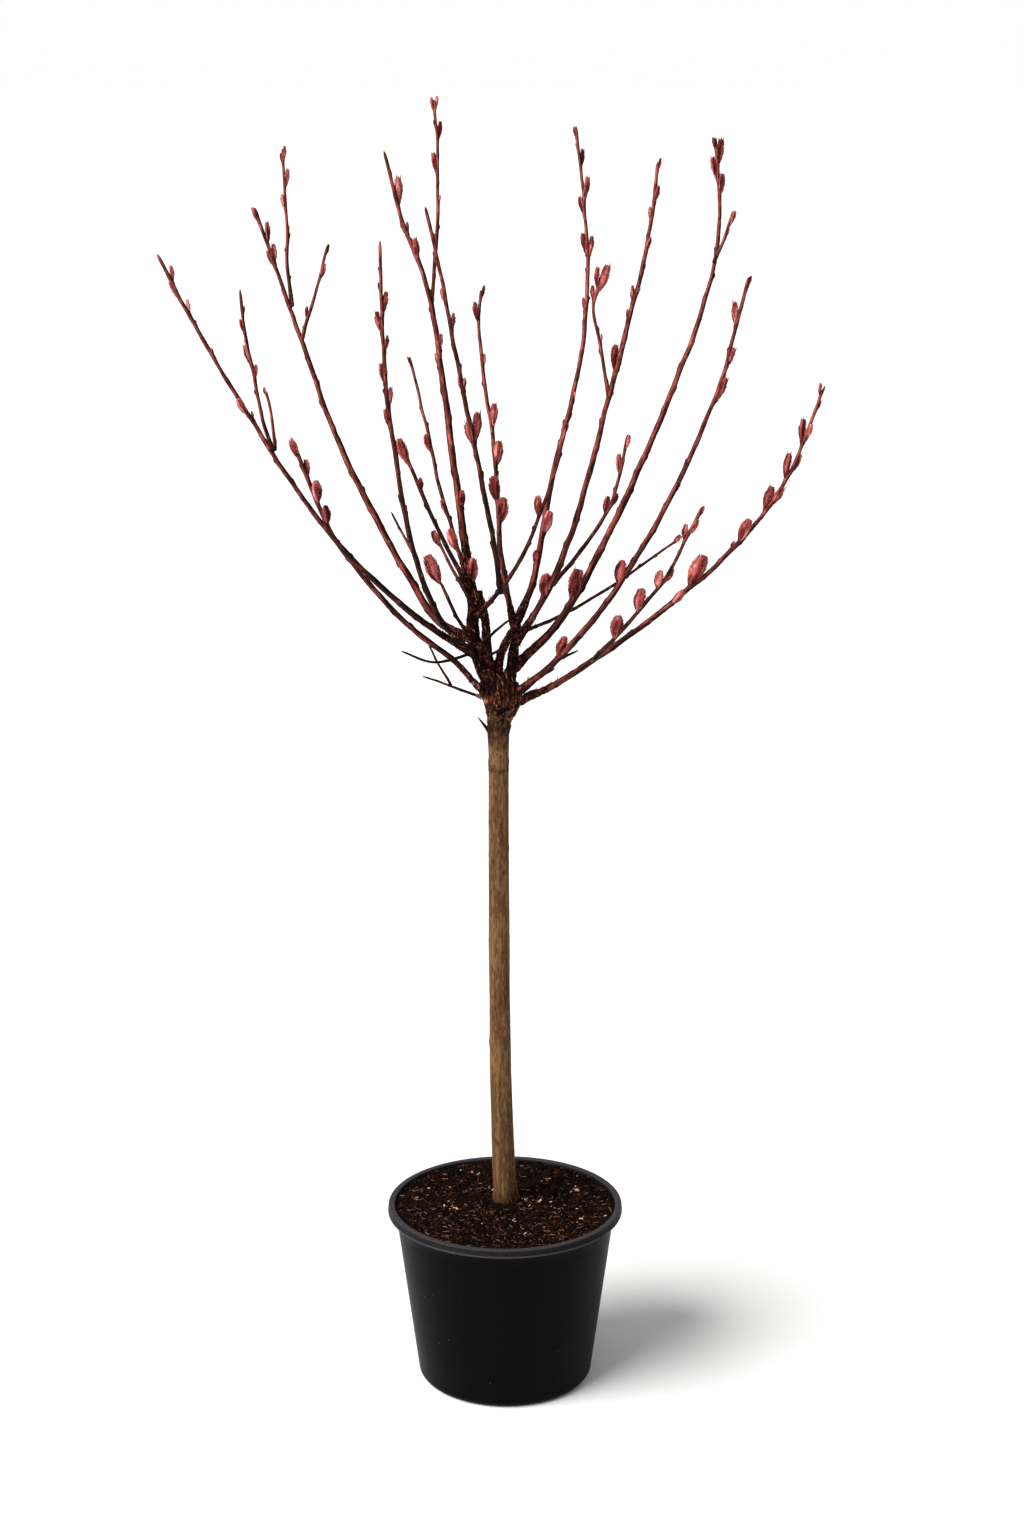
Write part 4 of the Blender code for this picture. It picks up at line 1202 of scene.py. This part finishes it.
    def add_shreds(self, settings, pile, points, normals, along):
        """Loose ends of bark that stand off the head and its arms."""
        draw = np.random.default_rng(SEED + 4)
        chosen = draw.choice(np.flatnonzero(points[:, 2] > HEAD_BARK[0] + 8 * MM), settings.shreds)
        count = len(chosen)
        sense = np.where(draw.uniform(size=(count, 1)) < 0.75, 1.0, -1.0)
        upward = along[chosen] * sense + normals[chosen] * draw.uniform(0.02, 0.30, (count, 1))
        upward = unit(upward + draw.normal(0, 0.10, (count, 3)))
        shreds, faces = scattered(
            points[chosen] - normals[chosen] * 0.3 * MM, upward, draw.uniform(3, 9, count) * MM,
            draw.uniform(0.5, 1.1, count) * MM, draw, 0.08,
        )
        tones = len(STEM_TONES) + draw.integers(0, len(HEAD_TONES), count)
        pile.add(shreds, faces, np.repeat(tones, 4))


Node = namedtuple("Node", "length outward catkin")


def nodes_of(name, settings):
    """Where buds and catkins sit on a shoot: (distance, outward direction, True for a catkin)."""
    stem = STEMS[name]
    draw = random.Random(f"{SEED} nodes {name}")
    catkin_draw = random.Random(f"{SEED} catkins {name}")
    found = []
    for height, size in SHOOTS[name].catkins:
        axis = catkin_axis(stem, height, size, catkin_draw)
        found.append(Node(length_at_height(stem, height * MM), np.array(axis.out), True))
    taken = sorted(node.length for node in found)
    length = 14 * MM
    turn = draw.uniform(0, 2 * math.pi)
    while length < stem.lengths[-1] - 6 * MM:
        clear = 11 * MM if not taken else min(abs(length - other) for other in taken)
        if clear > 9 * MM:
            _, tangent = place_along(stem, length)
            out = Vector((math.cos(turn), math.sin(turn), 0.0))
            out = (out - tangent * out.dot(tangent)).normalized()
            found.append(Node(length, np.array(out), False))
        turn += math.radians(144 + draw.uniform(-14, 14))
        length += settings.node_gap * draw.uniform(0.75, 1.25)
    return sorted(found, key=lambda node: node.length)


def shoot_line(name, settings):
    """(rings, nodes) of a shoot, whose axis takes a small step towards each bud."""
    end = STEMS[name].lengths[-1]
    line = sampled(STEMS[name], 0.0, end, SHOOT_SPACING)
    nodes = nodes_of(name, settings)
    knots = [0.0] + [node.length for node in nodes] + [end]
    steps = np.array([np.zeros(3)] + [node.outward * settings.zigzag for node in nodes] + [np.zeros(3)])
    shift = np.stack([np.interp(line.lengths, knots, steps[:, axis]) for axis in range(3)], axis=1)
    taper = np.sqrt(np.clip(1 - ramp(line.lengths, end - 7 * MM, 7.4 * MM) ** 1.6, 0.03, 1))
    return line_of(line.centres + shift, line.radii * taper, line.lengths), nodes


def add_shoot(pile, name, settings):
    """The skin of one shoot, grooved along its length and swollen under each bud. Returns its rings and
    nodes."""
    line, nodes = shoot_line(name, settings)
    outward, angles = around(line, 20 if line.radii[0] > 3 * MM else 14)
    seed = 20 + list(SHOOTS).index(name)
    spots = wrapped(angles, 1.5, (line.lengths / (16 * MM))[:, None])
    grooves = 0.7 * noise(spots, seed) + 0.4 * noise(spots * 2.0, seed + 100)
    swell = np.zeros_like(grooves)
    for node in nodes:
        near = bell((line.lengths - node.length) / (2.6 * MM))
        facing = np.clip(outward @ node.outward, 0, 1)
        swell += near[:, None] * (0.04 + 0.22 * facing)
    collar = 0.35 * np.exp(-line.lengths / (9 * MM))
    radii = line.radii[:, None] * (1 + settings.groove * grooves + swell + collar[:, None])
    places = outward * radii[..., None] / (0.85 * MM)
    streaks = noise(places + (line.lengths / (15 * MM))[:, None, None] * line.along[:, None], seed + 300)
    age = np.interp(line.radii, (1.4 * MM, 2.6 * MM, 4.2 * MM), (0.29, 0.25, 0.21))
    foot = np.exp(-line.lengths / (22 * MM)) * np.interp(line.centres[:, 2], (0.95, 1.05), (0.2, 0.05))
    age -= np.interp(line.centres[:, 2], (0.84, 1.10), (0.10, 0.0)) + foot
    # Painted light and shade: darker in the grooves and on the flanks, and paler along the side towards the
    # camera and its left and along the side opposite
    tone = age[:, None] + 0.08 * grooves + 0.38 * streaks + 0.52 * (outward @ PAINTED_LIGHT_SIDE) ** 2
    tones = face_tones(tone, DEAD_TONES if name.startswith("dead_") else SHOOT_TONES)
    pile.add(*skin(line.centres[:, None] + outward * radii[..., None]), tones)
    return line, nodes


def add_bud(pile, line, node, draw):
    """A small flat bud that hugs the shoot, on its leaf scar."""
    row = np.argmin(abs(line.lengths - node.length))
    along, out, radius = line.along[row], node.outward, line.radii[row]
    across = np.cross(along, out)
    length = draw.uniform(4.5, 7.0) * MM
    width = draw.uniform(1.1, 1.5) * MM
    t = np.linspace(0.04, 0.97, 8)
    half = width * np.sin(math.pi * t**0.8) ** 0.8
    lift = radius * 0.85 + 0.5 * MM * np.sin(math.pi * t) + 0.4 * MM * t
    centres = line.centres[row] + along * ((t - 0.1) * length)[:, None] + out * lift[:, None]
    spread = between(across, out, corner_angles(8), 0.7)
    pile.add(*skin(centres[:, None] + spread * half[:, None, None]), draw.integers(0, 2))


def shoot_nodes_under(part):
    """CAD nodes that the shoots of this part of the crown stand for."""
    return [node for node in frame["nodes"] if node.startswith((f"bough_{part}", f"twigs_{part}"))]


class WILLOW_OT_shoots(bpy.types.Operator):
    """Grow the crown's long shoots with their buds, and the dead twigs round the head"""

    bl_idname = "willow.shoots"
    bl_label = "Shoots and buds"

    def execute(self, context):
        settings = context.scene.willow_shoots
        bark = series("young_shoot_bark", SHOOT_TONES)
        draw = np.random.default_rng(SEED + 2)
        buds = Pile()
        for part in ("left", "middle", "right"):
            pile = Pile()
            for name in stems_in(part):
                line, nodes = add_shoot(pile, name, settings)
                for node in nodes:
                    if not node.catkin:
                        add_bud(buds, line, node, draw)
            pile.piece(f"shoots_{part}", bark, shoot_nodes_under(part))
        pile = Pile()
        for name in stems_in("dead"):
            add_shoot(pile, name, settings)
        pile.piece("dead_twigs", series("fibrous_willow_bark", DEAD_TONES, "dry_twig_bark"))
        buds.piece("buds", series("bud_scale", SCALE_TONES))
        return {"FINISHED"}


def catkin_frame(axis):
    """(direction, outward, across) of a catkin's axis as arrays, each at right angles to the others."""
    direction = np.array(axis.direction)
    out = np.array(axis.out)
    out = unit(out - direction * (out @ direction))
    return direction, out, np.cross(direction, out)


def fullness(axis):
    """How full a catkin is, from 0 to 1: the low ones have opened further, more so towards the left."""
    return float(np.interp(axis.foot.z + 0.2 * axis.foot.x, (0.95, 1.07), (1.0, 0.0)))


def catkin_outline(t, axis):
    """Half width of a catkin at a share of its length: a narrow wedge, or an egg where it is full."""
    full = fullness(axis)
    width = axis.length * (SLIM_SILK + (FULL_SILK - SLIM_SILK) * full)
    return width / 2 * np.sin(math.pi * t ** (1.4 - 0.3 * full)) ** ((1.15 - 0.45 * t) * (1 - 0.2 * full))


def catkin_surface(axis, t, angles, bulge):
    """Points of a catkin's surface at these shares of its length and angles round it."""
    direction, out, across = catkin_frame(axis)
    bow = np.sin(math.pi * t) * 0.035 * axis.length
    rise = (t * (1.06 + CATKIN_FOOT) - CATKIN_FOOT) * axis.length + t * 1.6 * MM
    centres = np.array(axis.foot) + direction * rise[:, None] + out * bow[:, None]
    spread = between(across, out, angles, 0.86)
    return centres[:, None] + spread * (catkin_outline(t, axis)[:, None] * bulge)[..., None]


def silk_tones(t, angles, width, seed, lightness):
    """How light the silk is at these shares of a catkin's length and angles round it, in streaks that run
    along it."""
    streaks = streaky(wrapped(angles, width / (3.4 * MM), t * 1.8), seed)
    # Darker towards the foot and paler towards the tip, where the paler silk is a painted highlight for the
    # light that the hair catches
    return np.clip(lightness + 1.05 * streaks + 0.2 * (t - 0.6), 0, 0.99)


def add_catkin(bodies, caps, axis, draw, seed, lightness):
    """One catkin: a body of combed silk, and the bud scale that still holds its foot."""
    small = axis.length <= COARSE_LENGTH
    steps = 12 if small else 18
    t = np.linspace(0.015, 0.99, steps)
    angles = corner_angles(steps)
    combed = streaky(wrapped(angles, 2.2, t[:, None] * 2.4), seed)
    rings = catkin_surface(axis, t * BODY_REACH, angles, 0.84 + 0.16 * combed)
    tone = silk_tones(t[:, None], angles, axis.width, seed, lightness)
    bodies.add(*skin(rings), face_tones(tone, SILK_TONES))
    cap = np.maximum(np.linspace(0.0, 0.34 if small else 0.22, 7), 0.02)
    inner = catkin_surface(axis, cap, angles, 1.0)
    grown = catkin_surface(axis, cap, angles, 1.10)
    share = np.linspace(0, 1, 7)[:, None, None]
    rings = grown * (1 - share**3) + (inner * 0.5 + inner.mean(axis=1, keepdims=True) * 0.5) * share**3
    caps.add(*skin(rings), draw.integers(0, 2))


def add_plumes(pile, axis, settings, draw, seed, lightness):
    """Broad tufts that lie along a catkin, part at its tip and leave its outline ragged."""
    direction, out, across = catkin_frame(axis)
    count = settings.plumes // (2 if axis.length <= COARSE_LENGTH else 1)
    at_tip = np.arange(count) % 6 == 0
    t = np.where(at_tip, draw.uniform(0.50, 0.70, count), draw.uniform(0.05, 0.66, count))
    angles = np.arange(count) * 2.4 + draw.uniform(-0.4, 0.4, count)
    roots = catkin_surface(axis, t, angles[:, None], np.where(at_tip, 0.5, 0.90)[:, None])[:, 0]
    shares = np.linspace(0, 1, 50)
    rising = np.gradient(catkin_outline(shares, axis), axis.length / 49)
    slope = np.where(at_tip, 0.0, np.interp(t + 0.20, shares, rising))
    lean = slope + draw.uniform(-0.02, 0.12, count)
    upward = unit(direction + unit(between(across, out, angles)) * lean[:, None])
    reach = draw.uniform(0.98, 1.22 - 0.12 * fullness(axis), count)
    lengths = np.where(at_tip, reach - t, draw.uniform(0.22, 0.36, count)) * axis.length
    widths = draw.uniform(0.8, 1.5, count) * MM * min(1.0, axis.width / (9 * MM) + 0.3)
    widths = np.where(at_tip, 0.20 * axis.width, widths)
    points, faces = scattered(roots, upward, lengths, widths, draw, 0.05)
    tones = silk_tones(t + 0.15, angles, axis.width, seed, lightness) + draw.uniform(-0.12, 0.16, count)
    pile.add(points, faces, np.repeat(levels_of(tones, SILK_TONES), 4))


def add_hairs(pile, axis, settings, draw, seed, lightness):
    """Silky hair over a catkin, combed towards its tip and a little outwards."""
    direction, out, across = catkin_frame(axis)
    area = math.pi * axis.width * axis.length * 0.62
    count = max(24, int(area / settings.hair_gap**2))
    t = draw.uniform(0.08, 0.86, count)
    angles = draw.uniform(0, 2 * math.pi, count)
    roots = catkin_surface(axis, t, angles[:, None], 0.93)[:, 0]
    spread = draw.uniform(0.10, 0.36, count) * np.where(t > 0.75, 0.6, 1.0) - np.clip((t - 0.7) * 1.2, 0, 0.3)
    upward = unit(direction + unit(between(across, out, angles)) * spread[:, None])
    scale = min(1.0, 0.45 + axis.length / (45 * MM))
    lengths = settings.hair_length * scale * draw.uniform(0.6, 1.15, count)
    widths = settings.hair_width * draw.uniform(0.7, 1.2, count)
    points, faces = scattered(roots, upward, lengths, widths, draw, 0.06)
    # The hair is a little paler than the body, as a painted highlight for the light that it catches
    tones = silk_tones(t + 0.05, angles, axis.width, seed, lightness + 0.06)
    tones += draw.uniform(-0.10, 0.10, count)
    pile.add(points, faces, np.repeat(levels_of(tones, SILK_TONES), 4))


class WILLOW_OT_catkins(bpy.types.Operator):
    """Set the catkins on their shoots, with their bud scales and their silky hair"""

    bl_idname = "willow.catkins"
    bl_label = "Catkins"

    def execute(self, context):
        settings = context.scene.willow_catkins
        silk = series("catkin_silk", SILK_TONES)
        draw = np.random.default_rng(SEED + 3)
        caps = Pile()
        for part in ("left", "middle", "right"):
            bodies = Pile()
            hairs = Pile()
            for index, axis in enumerate(catkins_in(part)):
                seed = 300 + 2 * index
                lightness = draw.uniform(0.40, 0.52)
                add_catkin(bodies, caps, axis, draw, seed, lightness)
                add_plumes(bodies, axis, settings, draw, seed, lightness)
                add_hairs(hairs, axis, settings, draw, seed, lightness)
            bodies.piece(f"catkins_{part}", silk)
            hairs.piece(f"catkin_hair_{part}", silk)
        caps.piece("catkin_scales", series("bud_scale", SCALE_TONES, "catkin_scale"))
        return {"FINISHED"}


class WILLOW_OT_stage(bpy.types.Operator):
    """Set the pale floor, the soft studio light and the photograph's camera"""

    bl_idname = "willow.stage"
    bl_label = "Studio and camera"

    def execute(self, context):
        settings = context.scene.willow_stage
        self.lay_floor(settings)
        self.set_light(context.scene, settings)
        self.set_camera(context.scene)
        return {"FINISHED"}

    def lay_floor(self, settings):
        """A round floor with a fine rim, wide enough to run to the horizon."""
        flat = turned(((0.3, 0.0), (2.0, 0.0), (40.0, 0.0), (400.0, 0.0), (400.0, -0.02), (0.3, -0.02)), 96)
        points, faces = skin(flat)
        mesh = mesh_of("floor", points, [face for block in faces for face in block[:, ::-1].tolist()])
        mesh.materials.append(natural_finish("studio_floor", "studio_floor", settings.floor_colour))
        placed("floor", mesh)

    def set_light(self, scene, settings):
        """White walls all round, and one broad soft key light from the upper left."""
        world = bpy.data.worlds.new("studio")
        world.use_nodes = True
        tree = world.node_tree
        place = add_node(tree, "ShaderNodeTexCoord")
        heading = add_node(tree, "ShaderNodeSeparateXYZ", links={"Vector": place.outputs["Generated"]})
        height = add_node(
            tree, "ShaderNodeMapRange",
            {
                "From Min": WALLS_TOP, "From Max": CEILING_EDGE,
                "To Min": settings.walls, "To Max": settings.ceiling,
            },
            {"Value": heading.outputs["Z"]},
        )
        background = tree.nodes["Background"]
        background.inputs["Color"].default_value = (1.0, 1.0, 1.0, 1.0)
        tree.links.new(height.outputs["Result"], background.inputs["Strength"])
        scene.world = world
        scene.view_settings.view_transform = "Standard"
        key = bpy.data.lights.new("key", "SUN")
        key.energy = settings.key
        key.angle = math.radians(KEY_SPREAD)
        lamp = placed("key", key)
        lamp.rotation_euler = KEY_AIM.to_track_quat("-Z", "Y").to_euler()

    def set_camera(self, scene):
        """The photograph's viewpoint: a little above the crown's middle, looking slightly down."""
        lens = bpy.data.cameras.new("camera")
        lens.lens = CAMERA_LENS
        lens.sensor_width = CAMERA_SENSOR
        camera = placed("camera", lens)
        camera.location = CAMERA_PLACE
        camera.rotation_euler = (math.radians(90 - CAMERA_DIP), 0.0, 0.0)
        scene.camera = camera


SETTINGS = {
    "willow_pot": PotSettings,
    "willow_compost": CompostSettings,
    "willow_bark": BarkSettings,
    "willow_shoots": ShootSettings,
    "willow_catkins": CatkinSettings,
    "willow_stage": StageSettings,
}
OPERATORS = (
    WILLOW_OT_pot,
    WILLOW_OT_compost,
    WILLOW_OT_trunk,
    WILLOW_OT_shoots,
    WILLOW_OT_catkins,
    WILLOW_OT_stage,
)


class WILLOW_PT_panel(bpy.types.Panel):
    """Lists the plant's pieces with the sizes and colours of each"""

    bl_idname = "WILLOW_PT_panel"
    bl_label = "Potted pussy willow"
    bl_space_type = "VIEW_3D"
    bl_region_type = "UI"
    bl_category = "Willow"

    def draw(self, context):
        for operator, (name, group) in zip(OPERATORS, SETTINGS.items()):
            box = self.layout.box()
            box.label(text=group.__doc__)
            for field in group.__annotations__:
                box.prop(getattr(context.scene, name), field)
            box.operator(operator.bl_idname)


def register():
    for name, group in SETTINGS.items():
        bpy.utils.register_class(group)
        setattr(bpy.types.Scene, name, PointerProperty(type=group))
    for operator in OPERATORS:
        bpy.utils.register_class(operator)
    bpy.utils.register_class(WILLOW_PT_panel)


def unregister():
    bpy.utils.unregister_class(WILLOW_PT_panel)
    for operator in reversed(OPERATORS):
        bpy.utils.unregister_class(operator)
    for name, group in reversed(SETTINGS.items()):
        delattr(bpy.types.Scene, name)
        bpy.utils.unregister_class(group)


def clear_scene():
    """Removes what the start-up file brings, and keeps the packed part."""
    kept = set(frame["nodes"].values()) | set(frame["bodies"].values())
    for item in list(bpy.data.objects):
        if item not in kept:
            bpy.data.objects.remove(item)


def main():
    clear_scene()
    register()
    bpy.ops.willow.pot()
    bpy.ops.willow.compost()
    bpy.ops.willow.trunk()
    bpy.ops.willow.shoots()
    bpy.ops.willow.catkins()
    bpy.ops.willow.stage()


if __name__ == "__main__":
    main()
